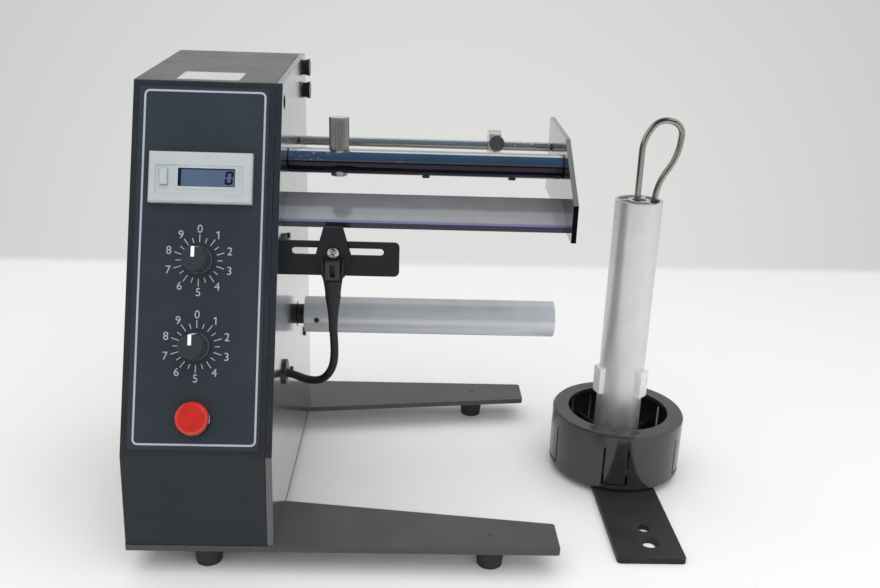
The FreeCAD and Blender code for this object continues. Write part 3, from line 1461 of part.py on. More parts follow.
def holderTube():
    """The roll tube on its axle, and three clips set in slots round it."""
    low = "(armThickness + axleHeadHeight + panelClearance)"
    seat = size["armThickness"] + size["axleHeadHeight"] + size["panelClearance"]
    axis = Vector(reelX, size["reelY"], seat)
    core = extrusion("holderTubeRadius", "holderTubeWall", "axleRadius + runningClearance",
                     "holderHubWall", "holderTubeTop - " + low, size["holderSpokeTurn"])
    slots = []
    clips = []
    start = "tubeClipStart - " + low
    for number in range(3):
        turn = Rotation(Vector(0, 0, 1), -90 - 60 - size["tubeClipTurn"] + 120 * number)
        slot = group(box("holderTubeWall * 3", "tubeClipWidth + panelClearance * 2",
                         "tubeClipLength + panelClearance * 2", "holderTubeRadius - holderTubeWall * 1.8",
                         "-tubeClipWidth / 2 - panelClearance", start + " - panelClearance"))
        clip = group(box("tubeClipProud + holderTubeWall", "tubeClipWidth", "tubeClipLength",
                         "holderTubeRadius - holderTubeWall", "-tubeClipWidth / 2", start))
        slot.Placement = clip.Placement = Placement(Vector(0, 0, 0), turn)
        slots.append(slot)
        clips.append(clip)
    named(cut(core, *slots), "holder_tube", axis)
    named(group(*clips), "tube_clips", axis)


def wireClip():
    """A sprung wire loop: two legs stand in the tube, the longer one at the back."""
    route = [Vector(size["wireRearX"], 0, -size["wireRearDepth"])]
    for bend in ("Neck", "Peak", "Bend", "Fall", "Front"):
        route.append(Vector(size["wire%sX" % bend], 0, size["wire%sRise" % bend]))
    route.append(Vector(size["wireFrontX"], 0, -size["wireFrontDepth"]))
    top = Vector(reelX, size["reelY"], size["holderTubeTop"])
    plain(tubeAlong(route, size["wireRadius"]), "wire_clip", top)


def build():
    basePlate()
    rubberFeet()
    baseScrews()
    sidePlate()
    cover()
    frontOverlay()
    counter()
    for prefix in ("length", "speed"):
        knob(prefix + "_knob", size[prefix + "DialRise"])
    potentiometers()
    potNuts()
    powerSwitch()
    bars()
    peelBar()
    endPlate()
    barScrews()
    thumbScrews()
    sensorArm()
    sensorCable(sensorCarriage())
    takeUp()
    gearTrain()
    motorUnit()
    holderScrews()
    controlBoard()
    transformer()
    powerInlet()
    holderArm()
    coreDrum()
    holderTube()
    wireClip()


def write():
    document.recompute()
    faults = [item.Name for item in document.Objects
              if "Invalid" in item.State or "Error" in item.State]
    faults += [node.Label for node in nodes if node.Shape.isNull() or not node.Shape.isValid()]
    if faults:
        raise RuntimeError("failed: " + ", ".join(faults))
    os.makedirs("parts", exist_ok=True)
    for node in nodes:
        node.Shape.exportStep("parts/" + node.Label + ".step")
        print("%-18s %3d solids %12.1f mm3" % (node.Label, len(node.Shape.Solids), node.Shape.Volume))


build()
write()
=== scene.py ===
import json
import math

import bmesh
import bpy
import numpy as np
from mathutils import Euler, Matrix, Vector


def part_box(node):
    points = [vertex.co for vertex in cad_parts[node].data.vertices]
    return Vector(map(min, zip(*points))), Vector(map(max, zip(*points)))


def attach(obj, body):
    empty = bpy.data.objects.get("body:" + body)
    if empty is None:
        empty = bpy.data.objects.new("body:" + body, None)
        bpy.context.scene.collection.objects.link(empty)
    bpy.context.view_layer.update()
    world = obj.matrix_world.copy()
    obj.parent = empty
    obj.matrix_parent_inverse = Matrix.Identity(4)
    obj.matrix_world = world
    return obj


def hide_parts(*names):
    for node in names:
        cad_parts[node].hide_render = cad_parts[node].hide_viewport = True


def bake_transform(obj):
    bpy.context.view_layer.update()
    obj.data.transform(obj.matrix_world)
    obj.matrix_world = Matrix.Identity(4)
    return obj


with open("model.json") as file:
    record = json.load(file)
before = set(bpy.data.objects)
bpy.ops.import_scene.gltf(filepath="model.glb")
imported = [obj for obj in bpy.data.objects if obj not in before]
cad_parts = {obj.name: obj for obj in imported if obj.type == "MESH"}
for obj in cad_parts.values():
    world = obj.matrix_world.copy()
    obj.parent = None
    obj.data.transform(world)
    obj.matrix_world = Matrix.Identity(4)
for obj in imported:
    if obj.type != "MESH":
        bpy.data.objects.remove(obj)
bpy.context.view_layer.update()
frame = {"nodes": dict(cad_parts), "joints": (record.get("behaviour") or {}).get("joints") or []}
nodes = frame["nodes"]
joints = {joint["name"]: joint for joint in frame["joints"]}
mm = 0.001
perMetre = 1000.0  # turns a count per mm into a count per metre
print("frame loaded:", len(nodes), "nodes")


# Mesh tools

# Points and faces linked into the scene as they are.
def addMesh(name, points, faces):
    mesh = bpy.data.meshes.new(name)
    mesh.from_pydata(np.asarray(points).reshape(-1, 3).tolist(), [], faces)
    piece = bpy.data.objects.new(name, mesh)
    bpy.context.scene.collection.objects.link(piece)
    return piece


# A clean mesh: doubles merged, normals outwards, smooth below the crease angle.
def makePiece(name, points, faces, crease=35.0):
    piece = addMesh(name, points, np.asarray(faces).tolist())
    shell = bmesh.new()
    shell.from_mesh(piece.data)
    bmesh.ops.remove_doubles(shell, verts=shell.verts, dist=0.0005 * mm)
    bmesh.ops.recalc_face_normals(shell, faces=shell.faces)
    shell.to_mesh(piece.data)
    shell.free()
    piece.data.shade_smooth()
    piece.data.set_sharp_from_angle(angle=math.radians(crease))
    return piece


# The quads between neighbours of a grid, wrapped round along its columns or rows where asked.
def gridFaces(rows, columns, wrapRows=False):
    i, j = np.meshgrid(np.arange(rows - (not wrapRows)), np.arange(columns), indexing="ij")
    ahead, beside = (i + 1) % rows, (j + 1) % columns
    quads = [i * columns + j, i * columns + beside, ahead * columns + beside, ahead * columns + j]
    return np.stack(quads, -1).reshape(-1, 4)


# Several point grids made one mesh: each grid's faces are counted on from the grids before it.
def gathered(grids):
    points = [grid.reshape(-1, 3) for grid in grids]
    starts = np.cumsum([0] + [len(block) for block in points[:-1]])
    faces = [gridFaces(*grid.shape[:2]) + start for grid, start in zip(grids, starts)]
    return np.vstack(points), np.vstack(faces)


# Rows of points closed at both ends, where a row is drawn together in its middle.
def capped(rows):
    rows = np.asarray(rows)
    ends = [np.repeat(row.mean(axis=0)[None], len(row), axis=0)[None] for row in rows[[0, -1]]]
    return np.concatenate([ends[0], rows, ends[1]])


def circleAngles(columns):
    return np.linspace(0, 2 * math.pi, columns, endpoint=False)


def unit(vectors):
    return vectors / np.linalg.norm(vectors, axis=1, keepdims=True)


# Corners turned to curves: (1-s)^2 P + 2s(1-s) C + s^2 Q, with P and Q a bend away from corner C.
def softened(corners, bend, steps=5):
    corners = np.array(corners, float)
    middle = corners[1:-1]

    def towards(others):
        way = others - middle
        length = np.linalg.norm(way, axis=1, keepdims=True)
        return middle + way / length * np.minimum(bend, length * 0.45)

    s = np.linspace(0, 1, steps)[None, :, None]
    before, after = towards(corners[:-2])[:, None], towards(corners[2:])[:, None]
    curves = (1 - s) ** 2 * before + 2 * s * (1 - s) * middle[:, None] + s ** 2 * after
    return np.vstack([corners[:1], curves.reshape(-1, 2), corners[-1:]])


# A turned surface: (r cos a, r sin a, z), where r is the radius less flute(a) times a depth.
def turned(profile, columns, flute=None, depth=0.0):
    angle = circleAngles(columns)
    radius = np.repeat(profile[:, :1], columns, axis=1)
    if flute is not None:
        radius = radius - np.asarray(depth).reshape(-1, 1) * flute(angle)
    height = np.repeat(profile[:, 1:], columns, axis=1)
    return np.stack([radius * np.cos(angle), radius * np.sin(angle), height], -1)


# A rounded rectangle as a loop: a quarter circle about each corner's centre.
def roundedLoop(halfWidth, halfHeight, radius, steps=8):
    turn = np.linspace(0, math.pi / 2, steps)
    quarter = np.arange(4)[:, None] * math.pi / 2
    signs = np.array([[1, 1], [-1, 1], [-1, -1], [1, -1]])[:, None, :]
    centres = signs * np.array([halfWidth - radius, halfHeight - radius])
    arcs = radius * np.stack([np.cos(quarter + turn), np.sin(quarter + turn)], -1)
    return (centres + arcs).reshape(-1, 2)


# A flat loop lifted to a level.
def atLevel(loop, level):
    return np.column_stack([loop, np.full(len(loop), level)])


# A stack of rounded rectangles: (half width, half height, corner radius, middle, level).
def stacked(levels):
    return capped([atLevel(roundedLoop(*sizes) + middle, level)
                   for *sizes, middle, level in levels])


# A flat path drawn as a raised strip: its section (across, level) runs round the path's points.
def strip(path, width, low, high):
    way = unit(np.roll(path, -1, axis=0) - np.roll(path, 1, axis=0))
    side = np.column_stack([way[:, 1], -way[:, 0]])
    section = [(-width / 2, low), (-width / 2, high), (width / 2, high), (width / 2, low)]
    return np.array([atLevel(path + side * across, level) for across, level in section])


# A tube: centre + radius (side cos a + lift sin a), with side and lift square to the path.
def tube(path, radius, columns, beside=(0, 1, 0)):
    way = unit(np.gradient(path, axis=0))
    side = unit(np.cross(way, beside))
    lift = np.cross(side, way)
    angle = circleAngles(columns)[None, :, None]
    spokes = side[:, None] * np.cos(angle) + lift[:, None] * np.sin(angle)
    ends = np.repeat(path[[0, -1], None], columns, axis=1)
    return np.concatenate([ends[:1], path[:, None] + radius * spokes, ends[1:]])


# A place with its own axes: the third axis and the one nearest to the first are given.
def placeAt(origin, outwards, across=(1, 0, 0)):
    third = Vector(outwards).normalized()
    second = third.cross(Vector(across)).normalized()
    first = second.cross(third)
    matrix = Matrix((first, second, third)).transposed().to_4x4()
    matrix.translation = Vector(origin)
    return matrix


def moved(points, matrix):
    return points @ np.array(matrix.to_3x3()).T + np.array(matrix.translation)


def pointsOf(mesh):
    points = np.zeros(len(mesh.vertices) * 3)
    mesh.vertices.foreach_get("co", points)
    return points.reshape(-1, 3)


# A node's points, measured from a place.
def localPoints(node, place):
    return moved(pointsOf(nodes[node].data), place.inverted())


# How far points reach out from their place: the largest radius, the lowest and the highest level.
def reachOf(local):
    return np.hypot(local[:, 0], local[:, 1]).max(), local[:, 2].min(), local[:, 2].max()


# The points and faces that a curve or a text has as a mesh.
def traced(curve):
    holder = bpy.data.objects.new(curve.name, curve)
    bpy.context.scene.collection.objects.link(holder)
    bpy.context.view_layer.update()
    evaluated = holder.evaluated_get(bpy.context.evaluated_depsgraph_get())
    mesh = bpy.data.meshes.new_from_object(evaluated)
    bpy.data.objects.remove(holder)
    return pointsOf(mesh), [list(face.vertices) for face in mesh.polygons]


# Letters of the built-in font as a thin solid mesh, centred on a point of a flat face.
def figure(text, height, thickness):
    curve = bpy.data.curves.new("figure", "FONT")
    curve.body, curve.size, curve.extrude = text, height, thickness / 2
    curve.align_x = curve.align_y = "CENTER"
    points, faces = traced(curve)
    points[:, :2] -= (points[:, :2].max(axis=0) + points[:, :2].min(axis=0)) / 2
    return points, faces


# The points of a smooth curve that has the route's points as its control points.
def smoothLine(route, resolution):
    curve = bpy.data.curves.new("line", "CURVE")
    curve.dimensions = "3D"
    spline = curve.splines.new("NURBS")
    spline.points.add(len(route) - 1)
    controls = np.column_stack([np.array(route) * mm, np.ones(len(route))])
    spline.points.foreach_set("co", controls.ravel())
    spline.order_u = 3
    spline.use_endpoint_u = True
    spline.resolution_u = resolution
    return traced(curve)[0]


# Material tools

# A node's inputs, linked to an output or set to a value.
def plug(tree, node, sockets):
    for key, value in sockets.items():
        if isinstance(value, bpy.types.NodeSocket):
            tree.links.new(value, node.inputs[key])
        else:
            node.inputs[key].default_value = value
    return node


# A node with its settings and inputs, and its place left to Blender.
def addNode(tree, kind, sockets=None, **settings):
    node = tree.nodes.new("ShaderNode" + kind)
    for key, value in settings.items():
        setattr(node, key, value)
    return plug(tree, node, sockets or {})


# Shorthands for the nodes that recur. Each gives its output.
def reckon(tree, operation, *values):
    return addNode(tree, "Math", dict(enumerate(values)), operation=operation).outputs[0]


def ramp(tree, value, start, stop, low=0.0, high=1.0, kind="LINEAR"):
    sockets = {"Value": value, "From Min": start, "From Max": stop, "To Min": low, "To Max": high}
    return addNode(tree, "MapRange", sockets, interpolation_type=kind).outputs[0]


def mixed(tree, share, first, second):
    first, second = (value if isinstance(value, bpy.types.NodeSocket) else (*value, 1)
                     for value in (first, second))
    return addNode(tree, "Mix", {0: share, 6: first, 7: second}, data_type="RGBA").outputs[2]


def noise(tree, place, scale, detail, roughness=0.5, distortion=0.0):
    sockets = {"Vector": place, "Scale": scale, "Detail": detail, "Roughness": roughness,
               "Distortion": distortion}
    return addNode(tree, "TexNoise", sockets).outputs[0]


def placeOf(tree, kind="Object"):
    return addNode(tree, "TexCoord").outputs[kind]


# The cosine of the angle between a face's normal and a direction.
def cosineTo(tree, way):
    normal = addNode(tree, "NewGeometry").outputs["Normal"]
    return addNode(tree, "VectorMath", {0: normal, 1: way},
                   operation="DOT_PRODUCT").outputs["Value"]


def newGroup(name, inputs, outputs):
    tree = bpy.data.node_groups.new(name, "ShaderNodeTree")
    for label, value in inputs.items():
        kind = "NodeSocketVector" if isinstance(value, tuple) else "NodeSocketFloat"
        socket = tree.interface.new_socket(name=label, in_out="INPUT", socket_type=kind)
        socket.default_value = value
    for label in outputs:
        kind = "NodeSocketVector" if label == "Normal" else "NodeSocketFloat"
        tree.interface.new_socket(name=label, in_out="OUTPUT", socket_type=kind)
    return tree, tree.nodes.new("NodeGroupInput").outputs, tree.nodes.new("NodeGroupOutput")


up = (0, 0, 1)


# Fine grain of a coat or a moulding: a height for bump, and a slow mottle for colour and gloss.
def grainGroup():
    tree, given, out = newGroup("surfaceGrain", {"grain": 3.0, "mottle": 0.05},
                                ["Height", "Mottle"])  # both inputs per mm
    place = placeOf(tree)
    for key, label, detail, roughness in (("grain", "Height", 2.0, 0.55),
                                          ("mottle", "Mottle", 4.0, 0.6)):
        scale = reckon(tree, "MULTIPLY", given[key], perMetre)
        plug(tree, out, {label: noise(tree, place, scale, detail, roughness)})
    return tree


# Rounded edges and where the finish has worn off them: the bevelled normal, and how far it turns.
def edgeGroup():
    tree, given, out = newGroup("edgeWear", {"round": 0.25, "wear": 0.0}, ["Normal", "Worn"])
    radius = reckon(tree, "MULTIPLY", given["round"], mm)
    bevel = addNode(tree, "Bevel", {"Radius": radius}, samples=4).outputs[0]
    turn = ramp(tree, cosineTo(tree, bevel), 0.995, 0.85)
    chips = ramp(tree, noise(tree, placeOf(tree), 420.0, 5.0), 0.5, 0.68)
    worn = reckon(tree, "MULTIPLY", turn, chips)
    plug(tree, out, {"Normal": bevel, "Worn": reckon(tree, "MULTIPLY", worn, given["wear"])})
    return tree


# Lines left by drawing or turning: noise stretched along one direction.
def streakGroup():
    tree, given, out = newGroup("drawnLines", {"stretch": (1.0, 1.0, 1.0), "lines": 2.0},
                                ["Streak", "Smear"])
    place = placeOf(tree)
    pulled = addNode(tree, "VectorMath", {0: place, 1: given["stretch"]},
                     operation="MULTIPLY").outputs[0]
    scale = reckon(tree, "MULTIPLY", given["lines"], perMetre)
    plug(tree, out, {"Streak": noise(tree, pulled, scale, 3.0, 0.7),
                     "Smear": noise(tree, place, 60.0, 4.0, distortion=0.6)})
    return tree


# Dust and specks: scattered dots, and a film where a face looks up.
def dustGroup():
    tree, given, out = newGroup("dustAndSpecks", {"specks": 0.4, "speck": 0.06, "dust": 0.15,
                                                  "speckStrength": 0.4}, ["Dust"])
    place = placeOf(tree)
    scale = reckon(tree, "MULTIPLY", given["specks"], perMetre)
    cells = addNode(tree, "TexVoronoi", {"Vector": place, "Scale": scale})
    dots = reckon(tree, "LESS_THAN", cells.outputs["Distance"], given["speck"])
    some = noise(tree, place, 45.0, 3.0)
    where = ramp(tree, some, 0.52, 0.68, 0.0, given["speckStrength"])
    specks = reckon(tree, "MULTIPLY", dots, where)
    film = reckon(tree, "MULTIPLY", ramp(tree, cosineTo(tree, up), 0.4, 1.0), given["dust"])
    patchy = reckon(tree, "MULTIPLY", film, some)
    plug(tree, out, {"Dust": reckon(tree, "MAXIMUM", patchy, specks)})
    return tree


groups = {"grain": grainGroup(), "edge": edgeGroup(), "streak": streakGroup(), "dust": dustGroup()}
dustColour = (0.42, 0.41, 0.39)


# A shared group placed in a material, its inputs set where the look has a value of that name.
def useGroup(tree, key, look):
    node = addNode(tree, "Group", node_tree=groups[key])
    given = {label: look[label] for label in node.inputs.keys() if label in look}
    return plug(tree, node, given).outputs


def newMaterial(name):
    material = bpy.data.materials.new(name)
    material.use_nodes = True
    return material, material.node_tree, material.node_tree.nodes["Principled BSDF"]


shaderValues = {  # the shader's socket, the look's key and its usual value
    "Metallic": ("metal", 0.0), "Coat Weight": ("coat", 0.0), "Coat Roughness": ("coatGloss", 0.05),
    "Transmission Weight": ("clear", 0.0), "Subsurface Weight": ("milky", 0.0),
    "Specular IOR Level": ("shine", 0.5),
}
finishes = {}


# A finish, put on the nodes that are named: two colours mottled, gloss between two values, and
# from its look worn edges, streaks, dust and bump.
def makeFinish(name, first, second, gloss, dressed=(), **look):
    material, tree, shader = newMaterial(name)
    usual = {socket: look.get(*value) for socket, value in shaderValues.items()}
    plug(tree, shader, {**usual, "Subsurface Radius": (2 * mm, 1 * mm, 0.8 * mm)})
    grain, edge = useGroup(tree, "grain", look), useGroup(tree, "edge", look)
    shade, height = grain["Mottle"], grain["Height"]
    if "stretch" in look:
        streak = useGroup(tree, "streak", look)
        shade, height = streak["Smear"], streak["Streak"]
    colour = mixed(tree, ramp(tree, shade, 0.3, 0.7), first, second)
    if "wear" in look:
        colour = mixed(tree, edge["Worn"], colour, look["bare"])
    if "dust" in look:
        dust = useGroup(tree, "dust", look)["Dust"]
        colour = mixed(tree, dust, colour, look.get("speckColour", dustColour))
        if "metal" in look:
            plug(tree, shader, {"Metallic": ramp(tree, dust, 0.0, 1.0, look["metal"], 0.0)})
    # Faces that look nearly one way get a painted colour of their own: a painted highlight where it
    # is lighter, painted shade where it is darker. The last of these ways is matt on a coated
    # finish.
    for way, cosine, paintedColour in look.get("facing", []):
        near = reckon(tree, "GREATER_THAN", cosineTo(tree, Vector(way).normalized()), cosine)
        colour = mixed(tree, near, colour, paintedColour)
        if "coat" in look:
            plug(tree, shader, {"Coat Weight": ramp(tree, near, 0.0, 1.0, look["coat"], 0.0),
                                "Specular IOR Level": ramp(tree, near, 0.0, 1.0,
                                                           look["shine"], 0.0)})
    # Faces that stand upright or look down get painted shade: their colour is mixed towards a dark
    # one.
    if "below" in look:
        shadeMask = ramp(tree, cosineTo(tree, up), 0.2, 0.1, kind="SMOOTHSTEP")
        colour = mixed(tree, shadeMask, colour, look["below"])
    # Faces that stand upright or look down shine less where the look says so.
    if "dull" in look:
        less = ramp(tree, cosineTo(tree, up), 0.3, 0.15, look["shine"], look["dull"])
        plug(tree, shader, {"Specular IOR Level": less})
    if "glow" in look:
        plug(tree, shader, {"Emission Color": (*first, 1), "Emission Strength": look["glow"]})
    gloss = ramp(tree, height if "stretch" in look else shade, 0.25, 0.75, *gloss)
    bump = addNode(tree, "Bump", {"Height": height, "Normal": edge["Normal"],
                                  "Strength": look.get("bump", 0.3),
                                  "Distance": look.get("depth", 0.02) * mm})
    plug(tree, shader, {"Base Color": colour, "Roughness": gloss, "Normal": bump.outputs[0]})
    finishes[name] = material
    for node in dressed:
        nodes[node].material_slots[0].material = material


def finishPiece(piece, finish, body, slot, *replaced):
    piece.data.materials.append(finishes[finish])
    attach(piece, body)
    if replaced:
        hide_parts(*replaced)


# A grid of points made a piece at a place.
def gridPiece(name, grid, place, *settings, crease=35.0, wrapRows=False):
    faces = gridFaces(*grid.shape[:2], wrapRows=wrapRows)
    finishPiece(makePiece(name, moved(grid, place), faces, crease), *settings)


# Stage: the camera, then the table, the wall, the lamps and the sky that light the part

camera = {
    "position": (-15.1, -470.5, 272.6),  # mm
    "pitch": -18.82, "yaw": -2.04, "roll": 1.93,  # degrees
    "lens": 37.28, "sensor": 36.0, "near": 0.01, "far": 20,
}


def makeCamera():
    data = bpy.data.cameras.new("camera")
    data.lens, data.sensor_width = camera["lens"], camera["sensor"]
    data.clip_start, data.clip_end = camera["near"], camera["far"]
    holder = bpy.data.objects.new("camera", data)
    yaw, pitch, roll = (Euler([math.radians(angle) for angle in angles]).to_matrix() for angles in (
        (0, 0, camera["yaw"]), (90 + camera["pitch"], 0, 0), (0, 0, camera["roll"])))
    place = Matrix.Translation(Vector(camera["position"]) * mm)
    holder.matrix_world = place @ (yaw @ pitch @ roll).to_4x4()
    bpy.context.scene.collection.objects.link(holder)
    bpy.context.scene.camera = holder


stage = {  # the table in mm, the wall in m
    "tableColour": (0.93, 0.925, 0.915), "tableGloss": 0.42, "tableShine": 0.3,
    "tableBack": 420.0, "tableSoft": 16.0, "tableReach": 2500.0, "tableSlant": -0.03,
    "wallColour": (0.73, 0.73, 0.715), "wallEdgeColour": (0.52, 0.53, 0.53),
    "wallBack": 1.5, "wallHalf": 3.0, "wallFoot": -2.0, "wallTop": 3.0,
    "wallBrightest": (0.05, -0.45), "wallFade": (0.35, 1.75),
    "skyColour": (0.97, 0.98, 1.0), "skyStrength": 0.68, "backLight": (0.95, 0.94, 0.92),
    "roomDark": (0.035, 0.075, 0.135), "roomWarm": (0.12, 0.085, 0.07),
}


# Two shaders mixed and shown.
def showMix(tree, share, first, second, output="Material Output"):
    mix = addNode(tree, "MixShader", {0: share, 1: first.outputs[0], 2: second.outputs[0]})
    plug(tree, tree.nodes[output], {"Surface": mix.outputs[0]})


# The table fades out past its back edge, where the wall behind it shows.
def makeTable():
    reach, back, soft = (stage[key] for key in ("tableReach", "tableBack", "tableSoft"))
    side, end = reach * mm, (back + soft * 2) * mm
    table = makePiece("table", [(-side, -side, 0), (side, -side, 0), (side, end, 0),
                                (-side, end, 0)], [(0, 1, 2, 3)])
    material, tree, shader = newMaterial("tableTop")
    plug(tree, shader, {"Base Color": (*stage["tableColour"], 1),
                        "Roughness": stage["tableGloss"],
                        "Specular IOR Level": stage["tableShine"]})
    across = addNode(tree, "SeparateXYZ", {0: placeOf(tree)}).outputs
    # The back edge runs slightly aslant, as the picture shows it.
    slant = reckon(tree, "MULTIPLY_ADD", across["X"], stage["tableSlant"], across["Y"])
    fade = ramp(tree, slant, (back - soft) * mm, (back + soft) * mm, kind="SMOOTHSTEP")
    showMix(tree, fade, shader, addNode(tree, "BsdfTransparent"))
    table.data.materials.append(material)


# A pale wall with painted shade that makes it darker towards its ends, shown at its own colour to
# the camera.
def makeWall():
    x, y, low, high = (stage[key] for key in ("wallHalf", "wallBack", "wallFoot", "wallTop"))
    wall = makePiece("wall", [(-x, y, low), (x, y, low), (x, y, high), (-x, y, high)],
                     [(0, 3, 2, 1)])
    material, tree, shader = newMaterial("wallPaint")
    tree.nodes.remove(shader)
    middleX, middleZ = stage["wallBrightest"]
    far = addNode(tree, "VectorMath", {0: placeOf(tree), 1: (middleX, y, middleZ)},
                  operation="DISTANCE").outputs["Value"]
    share = ramp(tree, far, *stage["wallFade"], kind="SMOOTHSTEP")
    colour = mixed(tree, share, stage["wallColour"], stage["wallEdgeColour"])
    glow = addNode(tree, "Emission", {"Color": colour})
    paint = addNode(tree, "BsdfDiffuse", {"Color": colour})
    path = addNode(tree, "LightPath").outputs
    seen = reckon(tree, "MAXIMUM", path["Is Camera Ray"], path["Is Glossy Ray"])
    seen = reckon(tree, "MAXIMUM", seen, path["Is Transmission Ray"])
    showMix(tree, seen, paint, glow)
    wall.data.materials.append(material)


# The sky: even light for matt faces. Bright metal shows a pale room behind, a dark one in front,
# and a warm strip low in front.
def makeSky():
    world = bpy.data.worlds.new("sky")
    bpy.context.scene.world = world
    world.use_nodes = True
    tree = world.node_tree
    way = addNode(tree, "SeparateXYZ", {0: placeOf(tree, "Generated")}).outputs
    behind = ramp(tree, way["Y"], 0.12, 0.34, kind="SMOOTHSTEP")
    aside = ramp(tree, reckon(tree, "ABSOLUTE", way["X"]), 0.45, 0.8, kind="SMOOTHSTEP")
    # A window high on the right, which rounded edges catch.
    window = reckon(tree, "MULTIPLY", ramp(tree, way["X"], 0.24, 0.34),
                    ramp(tree, way["Z"], 0.55, 0.7))
    lit = reckon(tree, "MAXIMUM", reckon(tree, "MAXIMUM", behind, aside), window)
    low = ramp(tree, way["Z"], 0.34, 0.26, kind="SMOOTHSTEP")
    front = mixed(tree, low, stage["roomDark"], stage["roomWarm"])
    shown = mixed(tree, lit, front, stage["backLight"])
    path = addNode(tree, "LightPath").outputs
    glossy = path["Is Glossy Ray"]
    light = addNode(tree, "Background", {
        "Color": mixed(tree, glossy, stage["skyColour"], shown),
        "Strength": ramp(tree, glossy, 0.0, 1.0, stage["skyStrength"], 1.0)})
    plain = addNode(tree, "Background", {"Color": (*stage["wallColour"], 1)})
    showMix(tree, path["Is Camera Ray"], light, plain, "World Output")


lamps = {  # place and aim in mm, size in m, power in W
    "overhead": {"place": (-60, -30, 950), "aim": (0, 0, 60), "size": 1.7, "power": 7.9,
                 "colour": (1.0, 0.99, 0.97)},
    "frontFill": {"place": (320, -900, 560), "aim": (0, 0, 60), "size": 0.9, "power": 3.0,
                  "colour": (0.93, 0.96, 1.0)},
}


def makeLamps():
    for name, lamp in lamps.items():
        data = bpy.data.lights.new(name, "AREA")
        data.size, data.energy, data.color = lamp["size"], lamp["power"], lamp["colour"]
        holder = bpy.data.objects.new(name, data)
        place, aim = Vector(lamp["place"]) * mm, Vector(lamp["aim"]) * mm
        holder.matrix_world = placeAt(place, place - aim)
        holder.visible_glossy = False
        bpy.context.scene.collection.objects.link(holder)


makeCamera()
makeTable()
makeWall()
makeSky()
makeLamps()
bpy.context.scene.view_settings.view_transform = "Standard"
print("stage set")


# Sensor cable, from the grommet round to the boot, and the boot that tapers onto it

cable = {
    "route": [(-78.25, -45.8, 84.4), (-72.75, -45.8, 83.4), (-65.55, -46.8, 80.6),
              (-57.55, -49.0, 81.6), (-52.05, -52.2, 90.0), (-51.05, -53.38, 101.1),
              (-51.85, -53.6, 112.0)],  # mm
    "diameter": 4.0, "columns": 28, "resolution": 14,
    "heldShare": 8,  # the first of so many parts of its length
}
boot = {  # mm
    "crotch": 0.75,  # how far the body's top lies below the carriage's foot
    "profile": [(4.6, 0), (4.0, 4.0), (3.7, 7.2), (3.85, 8.0), (3.7, 8.8), (2.7, 15.0),
                (2.2, 21.5), (2.1, 26.0)],  # radius and drop
    "bend": 1.2, "columns": 40, "depthShare": 0.86,
    "arms": [(-3.2, 0.6, 3.4), (-0.75, 1.45, 4.5), (-0.05, 1.45, 4.6), (0.1, 3.65, 4.75),
             (3.5, 3.7, 5.1), (6.5, 3.95, 5.5), (8.6, 4.3, 5.6), (9.3, 4.7, 5.4)],
    # level, inner and outer edge
    "armDepth": 4.0, "armCorner": 0.45, "armGap": 0.1,
}
makeFinish("cableSheath", (0.008, 0.008, 0.009), (0.013, 0.012, 0.014), (0.4, 0.55), grain=2.0,
    bump=0.12, dust=0.1, round=0.1, shine=0.3)
makeFinish("bootRubber", (0.008, 0.009, 0.01), (0.012, 0.013, 0.014), (0.42, 0.58), grain=1.5,
    bump=0.2, dust=0.1, round=0.15, shine=0.35)


def makeCable():
    path = smoothLine(cable["route"], cable["resolution"])
    points = tube(path, cable["diameter"] / 2 * mm, cable["columns"])
    piece = makePiece("cable", points, gridFaces(*points.shape[:2]))
    piece.data.materials.append(finishes["cableSheath"])
    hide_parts("sensor_cable")
    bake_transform(piece)


# The boot: rings of its profile's radius, flattened a little, and two arms: rounded bars
# whose inner and outer edges spread as they rise beside the sensor.
def makeBoot():
    low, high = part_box("sensor_boot")
    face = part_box("sensor_carriage")[0].y
    centre = (low + high) / 2
    profile = softened([(radius * mm, drop * mm) for radius, drop in boot["profile"]],
                       boot["bend"] * mm, 7)
    angle = circleAngles(boot["columns"])
    share = np.interp(profile[:, 1], [0, profile[-1, 1]], [boot["depthShare"], 1.0])[:, None]
    level = high.z - boot["crotch"] * mm - profile[:, 1:]
    grids = [capped(np.stack([centre.x + profile[:, :1] * np.cos(angle),
                              centre.y + profile[:, :1] * share * np.sin(angle),
                              np.repeat(level, len(angle), axis=1)], -1))]
    y = face - (boot["armDepth"] / 2 + boot["armGap"]) * mm
    for side in (-1, 1):
        grids.append(stacked([
            ((outer - inner) / 2 * mm, boot["armDepth"] / 2 * mm, boot["armCorner"] * mm,
             (centre.x + side * (inner + outer) / 2 * mm, y), high.z + level * mm)
            for level, inner, outer in boot["arms"]]))
    piece = makePiece("boot", *gathered(grids))
    finishPiece(piece, "bootRubber", "label_sensor", "sensor_plastic", "sensor_boot")


makeCable()
makeBoot()
print("cable made")


# Sheet metal: side plate, cover, end plate, base and the holder's bar

bareSteel = (0.3, 0.3, 0.3)
plateLook = {"first": (0.018, 0.02, 0.022), "second": (0.024, 0.026, 0.028),
             "gloss": (0.16, 0.24), "grain": 1.6, "bare": bareSteel, "dust": 0.08,
             "shine": 1.0, "coat": 1.0}
makeFinish("powderCoat", (0.019, 0.022, 0.025), (0.024, 0.027, 0.03), (0.26, 0.36), ["cover"],
    grain=2.6, bump=0.28, depth=0.03, wear=0.4, bare=bareSteel, dust=0.15, round=0.35, shine=0.7,
    dull=0.2)
makeFinish("plateCoat", dressed=["side_plate"], bump=0.06, wear=0.4, round=0.35, coatGloss=0.17,
    **plateLook)
# The end plate gets painted light: a light grey painted highlight where it looks up and forward,
# and near-black painted shade where it looks straight forward.
makeFinish("endCoat", dressed=["end_plate"], bump=0.05, wear=0.2, round=0.2, coatGloss=0.12,
    facing=[((0, -0.56, 0.83), 0.97, (0.12, 0.12, 0.122)),
            ((0, -1, 0), 0.98, (0.004, 0.004, 0.008))], **plateLook)
